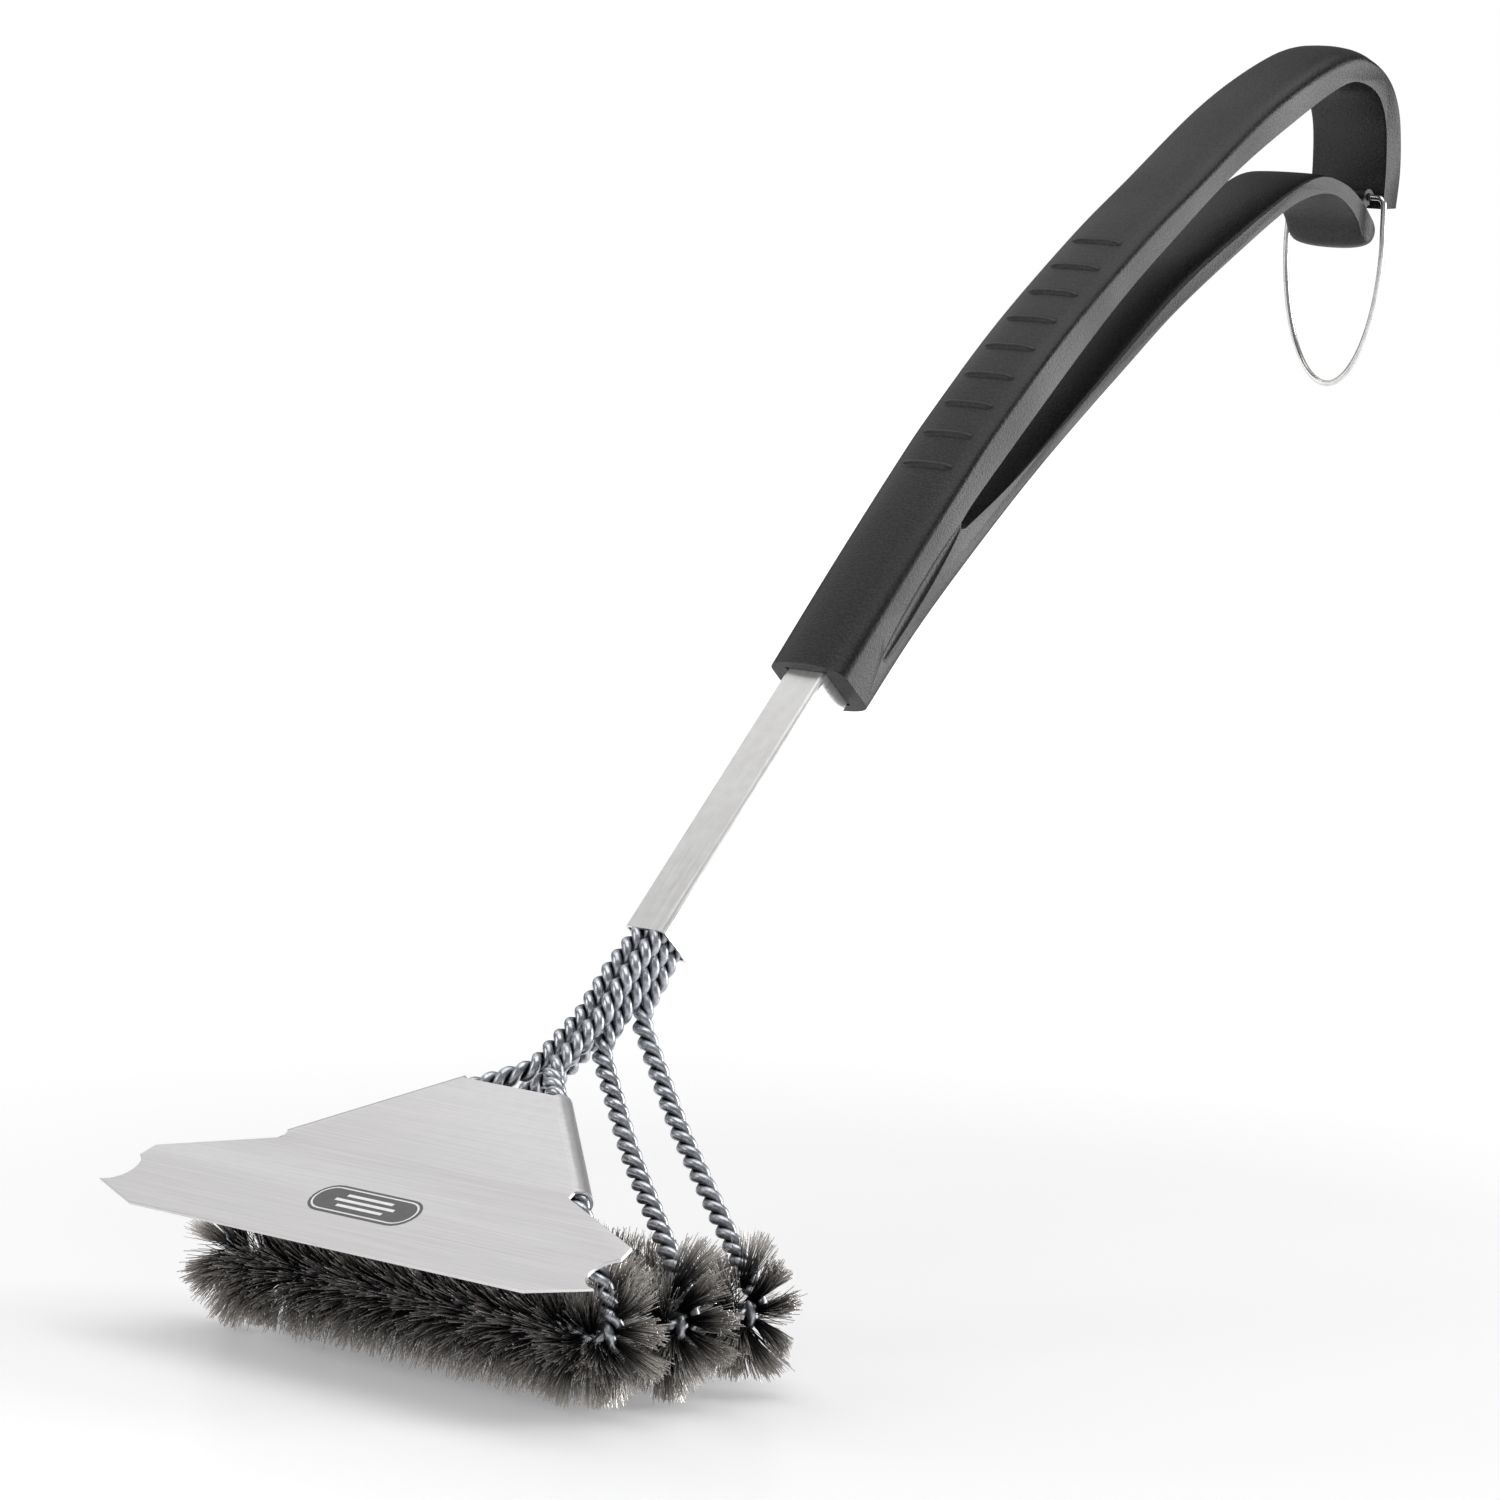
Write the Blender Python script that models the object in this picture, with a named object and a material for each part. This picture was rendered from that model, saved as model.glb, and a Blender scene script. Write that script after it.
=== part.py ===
# Grill cleaning brush: three twisted-wire loops with bristles, a scraper plate, a shaft tube,
# a split handle with a hook, and a hang ring that swings in the handle.
#
# The model is laid out from the middle of the scraper's front edge: X across the brush,
# Y from the head towards the handle, Z up. An empty then carries everything so that the
# world origin lies at the hand grip.

import math

import bmesh
import bpy
from mathutils import Matrix, Vector

MM = 0.001

# Clearances
GAP = 0.3 * MM                   # between pieces that touch
LEG_GAP = 0.35 * MM              # between the layers of wire legs
LEG_SIDE_GAP = 2.7 * MM          # between the left and the right leg
LEG_ROOM = 0.33 * MM             # above and below the legs in the tube
LEG_SIDE_ROOM = 1.4 * MM         # beside the legs in the tube
SLEEVE_ROOM = 1.1 * MM           # round the wire in its sleeve
RING_ROOM = 0.35 * MM            # round the ring's wire in its barrel

# Twisted wire loops
WIRE_DIAMETER = 2.65 * MM        # one strand of a twisted pair
ROW_HALF_WIDTH = 71.5 * MM       # to the middle of the wire at a loop's corner
ROW_Y = 37.4 * MM                # first row behind the scraper's front edge
ROW_PITCH = 26.7 * MM
ROW_DROP = 18.6 * MM             # rows below the scraper's front edge
CORNER_RADIUS = 4.5 * MM
LEG_BEND_RADIUS = 12.0 * MM
SPREAD_BEND_RADIUS = 40.0 * MM
ARM_CURVE_RADIUS = 90.0 * MM     # the arms' long outward curve
LEG_DEPTH = 30.0 * MM            # wire legs inside the tube
LEG_SPREAD = 1.6 * MM            # how far the layers move apart below the tube's mouth
SPREAD_RUN = 12.0 * MM
FRONT_RUN = 30.0 * MM            # wire below the tube's mouth before it bends
MIDDLE_RUN = 36.0 * MM
REAR_RUN = 20.0 * MM
ARM_KNEE_X = 27.0 * MM           # where the arms start to curve out
ARM_KNEE_SAG = 4.4 * MM          # below the straight line from leg to corner

# Bristles
BAND_RADIUS = 19.5 * MM
TUFT_RADIUS = 18.0 * MM
BAND_INSET = 15.5 * MM           # from the loop's corner to the band's end
TUFT_GAP = 1.0 * MM              # bare wire between band and tuft
TUFT_OVERHANG = 1.5 * MM         # the tuft's round end is centred this far past the corner

# Scraper plate, in its own plane: distance from the middle, distance from the front edge
PLATE_THICKNESS = 1.0 * MM
PLATE_HALF_WIDTH = 93.0 * MM
WING_ANGLE = 25.4
UPPER_ANGLE = 31.0
CREASE = 40.5 * MM
EDGE_INSET = 19.0 * MM           # from the claw's tip to the end of the straight front edge
CLAW_RISE = 7.0 * MM
NOTCH_OFFSET = 0.4 * MM          # the notch is centred just outside the claw's tip
NOTCH_RISE = 14.1 * MM
NOTCH_RADIUS = 7.1 * MM
WING_CORNER_INSET = 3.5 * MM
WING_CORNER_RISE = 26.0 * MM
WING_ROOT = 54.0 * MM
SLEEVE_TOP = (16.8 * MM, 77.6 * MM)
SLEEVE_FOOT = (54.0 * MM, 43.0 * MM)
SLEEVE_WALL = 0.9 * MM

# Shaft tube
MOUTH_Y = 123.5 * MM             # centre of the tube's mouth
MOUTH_Z = 71.6 * MM
TUBE_ANGLE = 48.4
TUBE_WALL = 0.8 * MM
TUBE_CORNER = 1.3 * MM
TUBE_VISIBLE = 92.5 * MM         # from the mouth to the handle
TUBE_IN_HANDLE = 45.0 * MM
BEAD_LENGTH = 3.5 * MM
PLUG_LENGTH = 6.0 * MM
PLUG_FLANGE = 1.5 * MM
PIN_RADIUS = 2.0 * MM
PIN_INSET = 3.0 * MM             # from the handle's side to the pin's end
PIN_AT = 20.0 * MM               # from the handle's lower end

# Handle
HANDLE_HALF_WIDTH = 14.0 * MM
HANDLE_LENGTH = 286.0 * MM       # along the tube's axis, to the hook
OUTLINE_LENGTH = 286.0 * MM      # the length that the outline's points are written for
GRIP_ALONG = 110.0 * MM          # the world origin, inside the upper limb
GRIP_ACROSS = 1.5 * MM

# Hang ring and its barrel
RING_AT = (256.8 * MM, -74.3 * MM)
RING_WIRE = 0.9 * MM             # radius
RING_HALF_WIDTH = 18.2 * MM
RING_DROP = 57.2 * MM
RING_SHOULDER = 14.0 * MM        # depth at which the ring starts to narrow
RING_CORNER = 2.5 * MM
RING_SPLAY = 0.4 * MM            # the ring's sides lean out this much above the shoulder
BARREL_HALF_LENGTH = 12.0 * MM
BARREL_WALL = 1.2 * MM
BARREL_WEB = 1.5 * MM            # half the thickness of the web to the tongue
BARREL_REACH = 6.0 * MM          # from the ring's axis into the tongue
BARREL_SLOT_HALF_ANGLE = 32.0

ROD_RADIUS = WIRE_DIAMETER / math.sqrt(2.0)    # a rod with the steel section of two strands
ROD_SIDES = 8
LEG_X = ROD_RADIUS + LEG_SIDE_GAP / 2.0
LAYER = 2.0 * ROD_RADIUS + LEG_GAP
BAND_HALF_LENGTH = ROW_HALF_WIDTH - BAND_INSET
SLEEVE_RADIUS = ROD_RADIUS + SLEEVE_ROOM + SLEEVE_WALL
BORE_WIDTH = 2.0 * (LEG_X + ROD_RADIUS + LEG_SIDE_ROOM)
BORE_HEIGHT = 2.0 * (LAYER + ROD_RADIUS + LEG_ROOM)
TUBE_WIDTH = BORE_WIDTH + 2.0 * TUBE_WALL
TUBE_HEIGHT = BORE_HEIGHT + 2.0 * TUBE_WALL
PIN_HALF_LENGTH = HANDLE_HALF_WIDTH - PIN_INSET
STRETCH = HANDLE_LENGTH / OUTLINE_LENGTH
ROW_NAMES = ("front", "middle", "rear")

AXIS = Vector((0.0, math.cos(math.radians(TUBE_ANGLE)), math.sin(math.radians(TUBE_ANGLE))))
ACROSS = Vector((0.0, -AXIS.z, AXIS.y))
MOUTH = Vector((0.0, MOUTH_Y, MOUTH_Z))
HANDLE_END = MOUTH + AXIS * TUBE_VISIBLE
TUBE_FRAME = Matrix((
    (-1.0, 0.0, 0.0),
    (0.0, ACROSS.y, AXIS.y),
    (0.0, ACROSS.z, AXIS.z),
)).to_4x4()                      # turns local Y and Z into the tube's height and its axis


def clear_scene():
    for thing in list(bpy.data.objects):
        bpy.data.objects.remove(thing)


def make_material(name, colour, roughness, metallic):
    material = bpy.data.materials.new(name)
    material.use_nodes = True
    shader = material.node_tree.nodes["Principled BSDF"]
    shader.inputs["Base Color"].default_value = (*colour, 1.0)
    shader.inputs["Roughness"].default_value = roughness
    shader.inputs["Metallic"].default_value = metallic
    return material


def add_object(name, bm, material, parent, place=None):
    bmesh.ops.recalc_face_normals(bm, faces=bm.faces)
    mesh = bpy.data.meshes.new(name)
    bm.to_mesh(mesh)
    bm.free()
    mesh.shade_smooth()
    mesh.set_sharp_from_angle(angle=math.radians(40.0))
    thing = bpy.data.objects.new(name, mesh)
    bpy.context.scene.collection.objects.link(thing)
    thing.parent = parent
    if place is not None:
        thing.matrix_local = place
    if material is not None:
        mesh.materials.append(material)
    return thing


def add_boolean(thing, tool, operation, hide=True):
    modifier = thing.modifiers.new(operation.lower(), "BOOLEAN")
    modifier.operation = operation
    modifier.object = tool
    modifier.solver = "EXACT"
    if hide:
        tool.hide_render = True
        tool.display_type = "WIRE"


# ---- Outlines and sweeps -------------------------------------------------------------


def fillet_path(points, radii, step=math.radians(14.0)):
    """Points of a polyline whose inner corners are rounded with the given radii."""
    path = [points[0].copy()]
    for before, corner, after, radius in zip(points, points[1:], points[2:], radii):
        to_before = (before - corner).normalized()
        to_after = (after - corner).normalized()
        opening = to_before.angle(to_after)
        turn = math.pi - opening
        if turn < math.radians(1.0):
            path.append(corner.copy())
            continue
        reach = radius / math.tan(opening / 2.0)
        centre = corner + (to_before + to_after).normalized() * radius / math.sin(opening / 2.0)
        start = corner + to_before * reach - centre
        hinge = to_before.cross(to_after).normalized()
        count = max(2, math.ceil(turn / step))
        for index in range(count + 1):
            spin = Matrix.Rotation(-turn * index / count, 3, hinge)
            path.append(centre + spin @ start)
    path.append(points[-1].copy())
    return path


def mirror_path(half):
    """A path that runs to the middle plane, carried on as its mirror image."""
    other = [Vector((-point.x, point.y, point.z)) for point in reversed(half)]
    return half + other


def sweep(path, radius, sides, closed=False):
    """Round bar along a path, with a frame carried along so that it doesn't twist."""
    bm = bmesh.new()
    count = len(path)
    tangents = []
    for index in range(count):
        ahead = path[(index + 1) % count] if closed or index + 1 < count else path[index]
        behind = path[index - 1] if closed or index > 0 else path[index]
        tangents.append((ahead - behind).normalized())
    normal = tangents[0].orthogonal().normalized()
    rings = []
    for index in range(count):
        normal = (normal - tangents[index] * normal.dot(tangents[index])).normalized()
        side = tangents[index].cross(normal)
        ring = []
        for step in range(sides):
            angle = 2.0 * math.pi * step / sides
            offset = normal * math.cos(angle) + side * math.sin(angle)
            ring.append(bm.verts.new(path[index] + offset * radius))
        rings.append(ring)
    pairs = list(zip(rings, rings[1:]))
    for first, second in pairs:
        for step in range(sides):
            following = (step + 1) % sides
            bm.faces.new((first[step], first[following], second[following], second[step]))
    if closed:
        join_rings(bm, rings[-1], rings[0])
    else:
        bm.faces.new(rings[0])
        bm.faces.new(rings[-1])
    return bm


def join_rings(bm, last, first):
    """Quads between two rings, paired where the corners lie closest."""
    sides = len(last)
    shift = min(range(sides), key=lambda step: (first[step].co - last[0].co).length)
    for step in range(sides):
        following = (step + 1) % sides
        bm.faces.new((
            last[step],
            last[following],
            first[(following + shift) % sides],
            first[(step + shift) % sides],
        ))


def smooth_curve(points, steps):
    """Catmull-Rom curve through points of any dimension, given as tuples."""
    curve = []
    last = len(points) - 1
    for index in range(last):
        p0 = Vector(points[max(index - 1, 0)])
        p1 = Vector(points[index])
        p2 = Vector(points[index + 1])
        p3 = Vector(points[min(index + 2, last)])
        for step in range(steps):
            t = step / steps
            curve.append(0.5 * (
                2.0 * p1 + (p2 - p0) * t
                + (2.0 * p0 - 5.0 * p1 + 4.0 * p2 - p3) * t ** 2
                + (3.0 * p1 - p0 - 3.0 * p2 + p3) * t ** 3
            ))
    curve.append(Vector(points[last]))
    return curve


def rounded_rectangle(width, height, radius, steps=3):
    outline = []
    for quarter in range(4):
        angle = quarter * math.pi / 2.0
        sign_x = 1.0 if quarter in (0, 3) else -1.0
        sign_y = 1.0 if quarter in (0, 1) else -1.0
        centre_x = sign_x * (width / 2.0 - radius)
        centre_y = sign_y * (height / 2.0 - radius)
        for step in range(steps + 1):
            turn = angle + step / steps * math.pi / 2.0
            outline.append((centre_x + radius * math.cos(turn), centre_y + radius * math.sin(turn)))
    return outline


def prism(outline, low, high):
    """Solid with the given outline, from one height to the other."""
    bm = bmesh.new()
    base = [bm.verts.new((x, y, low)) for x, y in outline]
    face = bm.faces.new(base)
    extruded = bmesh.ops.extrude_face_region(bm, geom=[face])
    top = [item for item in extruded["geom"] if isinstance(item, bmesh.types.BMVert)]
    bmesh.ops.translate(bm, verts=top, vec=(0.0, 0.0, high - low))
    return bm


# ---- Twisted wire loops --------------------------------------------------------------


def plate_point(x, distance):
    """Point on the plate's upper face, folded at the crease."""
    wing = math.radians(WING_ANGLE)
    upper = math.radians(UPPER_ANGLE)
    lower_part = min(distance, CREASE)
    upper_part = distance - lower_part
    y = lower_part * math.cos(wing) + upper_part * math.cos(upper)
    z = lower_part * math.sin(wing) + upper_part * math.sin(upper)
    return Vector((x, y, z))


def plate_normal():
    upper = math.radians(UPPER_ANGLE)
    return Vector((0.0, -math.sin(upper), math.cos(upper)))


def sleeve_ends():
    """Top and foot of the right-hand sleeve's axis."""
    drop = plate_normal() * SLEEVE_RADIUS
    return plate_point(*SLEEVE_TOP) - drop, plate_point(*SLEEVE_FOOT) - drop


def row_point(row, x):
    return Vector((x, ROW_Y + row * ROW_PITCH, -ROW_DROP))


def leg_points(layer, run):
    """A right-hand leg: inside the tube, through its mouth, apart from its neighbours."""
    side = Vector((LEG_X, 0.0, 0.0))
    inside = side + ACROSS * LAYER * layer
    outside = side + ACROSS * (LAYER + LEG_SPREAD) * layer
    return [
        MOUTH + AXIS * LEG_DEPTH + inside,
        MOUTH + AXIS * SPREAD_RUN / 3.0 + inside,
        MOUTH - AXIS * SPREAD_RUN + outside,
        MOUTH - AXIS * run + outside,
    ]


def corner_crossing(row, last_bend):
    """Where the lines of arm and row cross, so that the rounded corner has its set width."""
    crossing = row_point(row, ROW_HALF_WIDTH)
    for _ in range(8):
        corner = (last_bend - crossing).angle(Vector((-1.0, 0.0, 0.0)))
        crossing.x = ROW_HALF_WIDTH - CORNER_RADIUS + CORNER_RADIUS / math.tan(corner / 2.0)
    return crossing


def front_loop_half():
    top, foot = sleeve_ends()
    along = (foot - top).normalized()
    meeting = top - along * (top.x - LEG_X) / along.x
    after_sleeve = foot + along * 4.0 * MM
    points = leg_points(1, FRONT_RUN) + [meeting, after_sleeve]
    points.append(corner_crossing(0, after_sleeve))
    spread = [SPREAD_BEND_RADIUS, SPREAD_BEND_RADIUS]
    return points, spread + [LEG_BEND_RADIUS, 8.0 * MM, 8.0 * MM, CORNER_RADIUS]


def straight_loop_half(row, layer, run):
    points = leg_points(layer, run)
    leg_end = points[-1]
    corner = corner_crossing(row, leg_end)
    share = (ARM_KNEE_X - leg_end.x) / (corner.x - leg_end.x)
    knee = leg_end.lerp(corner, share) - Vector((0.0, 0.0, ARM_KNEE_SAG))
    points += [knee, corner_crossing(row, knee)]
    spread = [SPREAD_BEND_RADIUS, SPREAD_BEND_RADIUS]
    return points, spread + [LEG_BEND_RADIUS, ARM_CURVE_RADIUS, CORNER_RADIUS]


def loop_path(row):
    """Whole path of one loop, from its right leg round the row to its left leg."""
    if row == 0:
        points, radii = front_loop_half()
    elif row == 1:
        points, radii = straight_loop_half(1, 0, MIDDLE_RUN)
    else:
        points, radii = straight_loop_half(2, -1, REAR_RUN)
    middle = row_point(row, 0.0)
    half = fillet_path(points + [middle], radii)[:-1]
    return mirror_path(half)


def build_wire_loops(frame, steel):
    for row, name in enumerate(ROW_NAMES):
        bm = sweep(loop_path(row), ROD_RADIUS, ROD_SIDES)
        add_object(f"{name}_wire_loop", bm, steel, frame)


# ---- Bristles ------------------------------------------------------------------------


def turned_body(profile, sides):
    """Body turned about the X axis from (x, radius) points; a radius of 0 is a pole."""
    bm = bmesh.new()
    rings = []
    for x, radius in profile:
        if radius < 1e-9:
            rings.append([bm.verts.new((x, 0.0, 0.0))])
            continue
        ring = []
        for step in range(sides):
            angle = 2.0 * math.pi * (step + 0.5) / sides
            ring.append(bm.verts.new((x, radius * math.cos(angle), radius * math.sin(angle))))
        rings.append(ring)
    for first, second in zip(rings, rings[1:]):
        for step in range(sides):
            following = (step + 1) % sides
            if len(second) == 1:
                bm.faces.new((first[step], first[following], second[0]))
            else:
                bm.faces.new((first[step], first[following], second[following], second[step]))
    for ring in (rings[0], rings[-1]):
        if len(ring) > 1:
            bm.faces.new(ring)
    return bm


def trim_to_row(bm, row):
    """Cut a bristle body flat where it meets the next row."""
    reach = (ROW_PITCH - GAP) / 2.0
    sides = []
    if row > 0:
        sides.append(-1.0)
    if row < len(ROW_NAMES) - 1:
        sides.append(1.0)
    for side in sides:
        everything = bm.verts[:] + bm.edges[:] + bm.faces[:]
        bmesh.ops.bisect_plane(
            bm, geom=everything, plane_co=(0.0, side * reach, 0.0),
            plane_no=(0.0, side, 0.0), clear_outer=True)
        rim = [edge for edge in bm.edges if edge.is_boundary]
        bmesh.ops.contextual_create(bm, geom=rim)


def tuft_profile(steps=5):
    start = BAND_HALF_LENGTH + TUFT_GAP
    centre = ROW_HALF_WIDTH + TUFT_OVERHANG
    profile = [(start, TUFT_RADIUS)]
    for step in range(steps + 1):
        angle = step / steps * math.pi / 2.0
        radius = 0.0 if step == steps else TUFT_RADIUS * math.cos(angle)
        profile.append((centre + TUFT_RADIUS * math.sin(angle), radius))
    return profile


def build_bristles(frame, steel):
    for row, name in enumerate(ROW_NAMES):
        channel = add_object(
            f"{name}_channel", sweep(loop_path(row), ROD_RADIUS + GAP, ROD_SIDES), None, frame)
        place = Matrix.Translation(row_point(row, 0.0))
        band = turned_body([(-BAND_HALF_LENGTH, BAND_RADIUS), (BAND_HALF_LENGTH, BAND_RADIUS)], 20)
        trim_to_row(band, row)
        band_object = add_object(f"{name}_bristle_band", band, steel, frame, place)
        add_boolean(band_object, channel, "DIFFERENCE")
        for side, sign in (("right", 1.0), ("left", -1.0)):
            tuft = turned_body(tuft_profile(), 20)
            trim_to_row(tuft, row)
            bmesh.ops.scale(tuft, vec=(sign, 1.0, 1.0), verts=tuft.verts)
            tuft_object = add_object(f"{name}_tuft_{side}", tuft, steel, frame, place)
            add_boolean(tuft_object, channel, "DIFFERENCE")


# ---- Scraper plate -------------------------------------------------------------------


def wing_outline(steps=6):
    """Right-hand wing from the front edge: claw, round notch, corner and root."""
    claw = (PLATE_HALF_WIDTH, CLAW_RISE)
    centre_x = PLATE_HALF_WIDTH + NOTCH_OFFSET
    outline = [(PLATE_HALF_WIDTH - EDGE_INSET, 0.0), claw]
    start = math.atan2(claw[1] - NOTCH_RISE, claw[0] - centre_x)
    turn = math.radians(-152.0)
    for step in range(1, steps + 1):
        angle = start + turn * step / steps
        outline.append((centre_x + NOTCH_RADIUS * math.cos(angle),
                        NOTCH_RISE + NOTCH_RADIUS * math.sin(angle)))
    outline.append((PLATE_HALF_WIDTH - WING_CORNER_INSET, WING_CORNER_RISE))
    outline.append((WING_ROOT, CREASE))
    return outline


def build_plate(frame, steel):
    right_wing = wing_outline()
    left_wing = [(-x, distance) for x, distance in reversed(right_wing)]
    bm = bmesh.new()
    right = [bm.verts.new(plate_point(*point)) for point in right_wing]
    left = [bm.verts.new(plate_point(*point)) for point in left_wing]
    bm.faces.new(right + left)
    upper = [SLEEVE_FOOT, SLEEVE_TOP]
    upper += [(-x, distance) for x, distance in reversed(upper)]
    corners = [bm.verts.new(plate_point(*point)) for point in upper]
    bm.faces.new([right[-1]] + corners + [left[0]])
    bmesh.ops.recalc_face_normals(bm, faces=bm.faces)
    plate = add_object("scraper_plate", bm, steel, frame)
    if plate.data.polygons[0].normal.z < 0.0:
        plate.data.flip_normals()
    solidify = plate.modifiers.new("sheet", "SOLIDIFY")
    solidify.thickness = PLATE_THICKNESS
    solidify.offset = -1.0
    solidify.use_even_offset = True
    top, foot = sleeve_ends()
    for side, sign in (("right", 1.0), ("left", -1.0)):
        ends = [Vector((sign * point.x, point.y, point.z)) for point in (top, foot)]
        along = (ends[1] - ends[0]).normalized()
        sleeve = add_object(f"sleeve_{side}", sweep(ends, SLEEVE_RADIUS, 16), None, frame)
        add_boolean(plate, sleeve, "UNION")
        reach = 2.0 * SLEEVE_RADIUS
        hole_path = [ends[0] - along * reach, ends[1] + along * reach]
        hole = add_object(
            f"sleeve_hole_{side}", sweep(hole_path, SLEEVE_RADIUS - SLEEVE_WALL, 16), None, frame)
        add_boolean(plate, hole, "DIFFERENCE")


# ---- Shaft tube and what it holds ----------------------------------------------------


def tube_place(along):
    """Frame on the tube's axis, a distance up from the mouth."""
    return Matrix.Translation(MOUTH + AXIS * along) @ TUBE_FRAME


def cross_bar(name, radius, half_length, frame, material=None):
    """Round bar along X through the tube, at the cross pin's place."""
    centre = MOUTH + AXIS * (TUBE_VISIBLE + PIN_AT)
    reach = Vector((half_length, 0.0, 0.0))
    return add_object(name, sweep([centre - reach, centre + reach], radius, 16), material, frame)


def build_tube(frame, steel, plastic):
    length = TUBE_VISIBLE + TUBE_IN_HANDLE
    outer = rounded_rectangle(TUBE_WIDTH, TUBE_HEIGHT, TUBE_CORNER)
    inner = rounded_rectangle(BORE_WIDTH, BORE_HEIGHT, TUBE_CORNER - TUBE_WALL)
    tube = add_object("shaft_tube", prism(outer, 0.0, length), steel, frame, tube_place(0.0))
    bore = add_object(
        "tube_bore", prism(inner, -GAP, length + GAP), None, frame, tube_place(0.0))
    add_boolean(tube, bore, "DIFFERENCE")
    pin_hole = cross_bar("tube_pin_hole", PIN_RADIUS + GAP, TUBE_WIDTH, frame)
    add_boolean(tube, pin_hole, "DIFFERENCE")

    filling = rounded_rectangle(BORE_WIDTH - 2.0 * GAP, BORE_HEIGHT - 2.0 * GAP, 0.4 * MM, 1)
    bead_start = LEG_DEPTH + GAP
    add_object("leg_weld_bead", prism(filling, bead_start, bead_start + BEAD_LENGTH),
               steel, frame, tube_place(0.0))

    plug = prism(filling, length - PLUG_LENGTH, length + GAP + PLUG_FLANGE / 2.0)
    plug_object = add_object("tube_end_plug", plug, plastic, frame, tube_place(0.0))
    flange = prism(outer, length + GAP, length + GAP + PLUG_FLANGE)
    flange_object = add_object("plug_flange", flange, None, frame, tube_place(0.0))
    add_boolean(plug_object, flange_object, "UNION")

    cross_bar("tube_cross_pin", PIN_RADIUS, PIN_HALF_LENGTH, frame, steel)


# ---- Handle --------------------------------------------------------------------------


def handle_runs():
    """Smooth runs of the side outline: (along, across, crown) in millimetres, in order.

    The crown is how far the middle of the handle stands out from its side face."""
    back = [(0, 4.6, 6.0), (35, 5.9, 4.8), (72, 6.4, 4.0), (94, 5.9, 3.8), (132, 2.7, 3.8),
            (173, -4.2, 4.0), (201, -10.8, 4.2), (237, -19.4, 4.4), (262, -29.0, 5.0),
            (278, -38.0, 5.0), (284.2, -46.0, 2.8), (286, -54.5, 1.4), (284, -62.6, 1.0),
            (279, -70, 1.0), (271, -78.2, 1.2), (262, -84.8, 1.2)]
    inner = [(257.4, -80.2, 0.2), (267.6, -71.6, 0.4), (276.4, -61.8, 0.4), (279.2, -52.5, 0.4),
             (275.2, -43.2, 0.4), (267.5, -37.6, 0.4), (251.6, -31.2, 0.4), (218.5, -20.2, 0.4),
             (185.8, -13.0, 0.4), (145, -6.2, 0.4), (78.5, -0.6, 0.1), (62.5, -0.2, 0.0)]
    crotch = [(62.5, -0.2, 0.0), (61.2, -1.4, 0.0), (62.5, -2.8, 0.0)]
    lower_top = [(62.5, -2.8, 0.0), (88.7, -9.8, 0.6), (130, -17.6, 1.6), (173, -25.4, 2.2),
                 (203, -34.2, 2.0), (231, -44.0, 1.4), (243.5, -51.0, 0.9), (249.6, -60.5, 0.5),
                 (251.6, -68.0, 0.3), (252.0, -73.6, 0.2), (251.6, -79.4, 1.0)]
    nose = [(251.6, -79.4, 1.0), (250.2, -81.6, 2.8), (247.8, -82.4, 3.6), (245.4, -81.0, 2.8),
            (244.8, -78.4, 1.0)]
    under = [(244.8, -78.4, 1.0), (246.6, -73, 0.4), (246.4, -66.5, 0.4), (244.4, -60.2, 0.4),
             (239.8, -54.4, 0.4), (232.2, -49.0, 0.4), (222.5, -44.6, 0.4), (200, -37.4, 0.5),
             (170, -28.8, 0.5), (142.5, -23.2, 0.6), (90, -13.8, 1.2), (35, -7.4, 3.2),
             (0, -6.2, 4.4)]
    return back, inner, crotch, lower_top, nose, under


def barrel_outline(steps=14):
    """The open barrel's outline: from its web round its outside, its slot and its bore."""
    centre = Vector((RING_AT[0] * STRETCH, RING_AT[1]))
    bore = RING_WIRE + RING_ROOM
    outside = bore + BARREL_WALL
    web = math.asin(BARREL_WEB / outside)
    half_slot = math.radians(BARREL_SLOT_HALF_ANGLE)
    slot_right = -math.pi / 2.0 + half_slot
    slot_left = -math.pi / 2.0 - half_slot

    def arc(radius, start, end):
        turned = []
        for step in range(steps + 1):
            angle = start + (end - start) * step / steps
            turned.append(centre + Vector((math.cos(angle), math.sin(angle))) * radius)
        return turned

    over = arc(outside, math.pi - web, slot_right)
    back_round = arc(bore, slot_right, 2.0 * math.pi + slot_left)
    under = arc(outside, slot_left, -math.pi + web)[::4]
    root = Vector((-BARREL_REACH, 0.0))
    half_web = Vector((0.0, BARREL_WEB))
    return [centre + root + half_web] + over + back_round + under + [centre + root - half_web]


def outline_normals(points):
    """Outward directions along an outline that keeps the solid on its right."""
    normals = []
    for index, point in enumerate(points):
        ahead = points[min(index + 1, len(points) - 1)]
        behind = points[max(index - 1, 0)]
        run = (ahead - behind).normalized()
        normals.append(Vector((-run.y, run.x)))
    return normals


def handle_outline():
    """Side outline as (point, shift) pairs; the shift is the crown at the middle plane."""
    outline = []
    for run in handle_runs():
        steps = 2 if len(run) <= 5 else 3
        curve = smooth_curve([tuple(value * MM for value in point) for point in run], steps)
        points = [Vector((sample.x * STRETCH, sample.y)) for sample in curve]
        normals = outline_normals(points)
        pairs = [(point, normal * sample.z)
                 for point, normal, sample in zip(points, normals, curve)]
        if outline and (outline[-1][0] - pairs[0][0]).length < 1e-6:
            pairs = pairs[1:]
        outline += pairs
    return outline


def crown_columns():
    """Places across the handle, as a share of its half width, and the crown's share there."""
    shares = (-1.0, -0.94, -0.78, -0.45, 0.0, 0.45, 0.78, 0.94, 1.0)
    power = 2.4
    return [(share, (1.0 - abs(share) ** power) ** (1.0 / power)) for share in shares]


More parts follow.
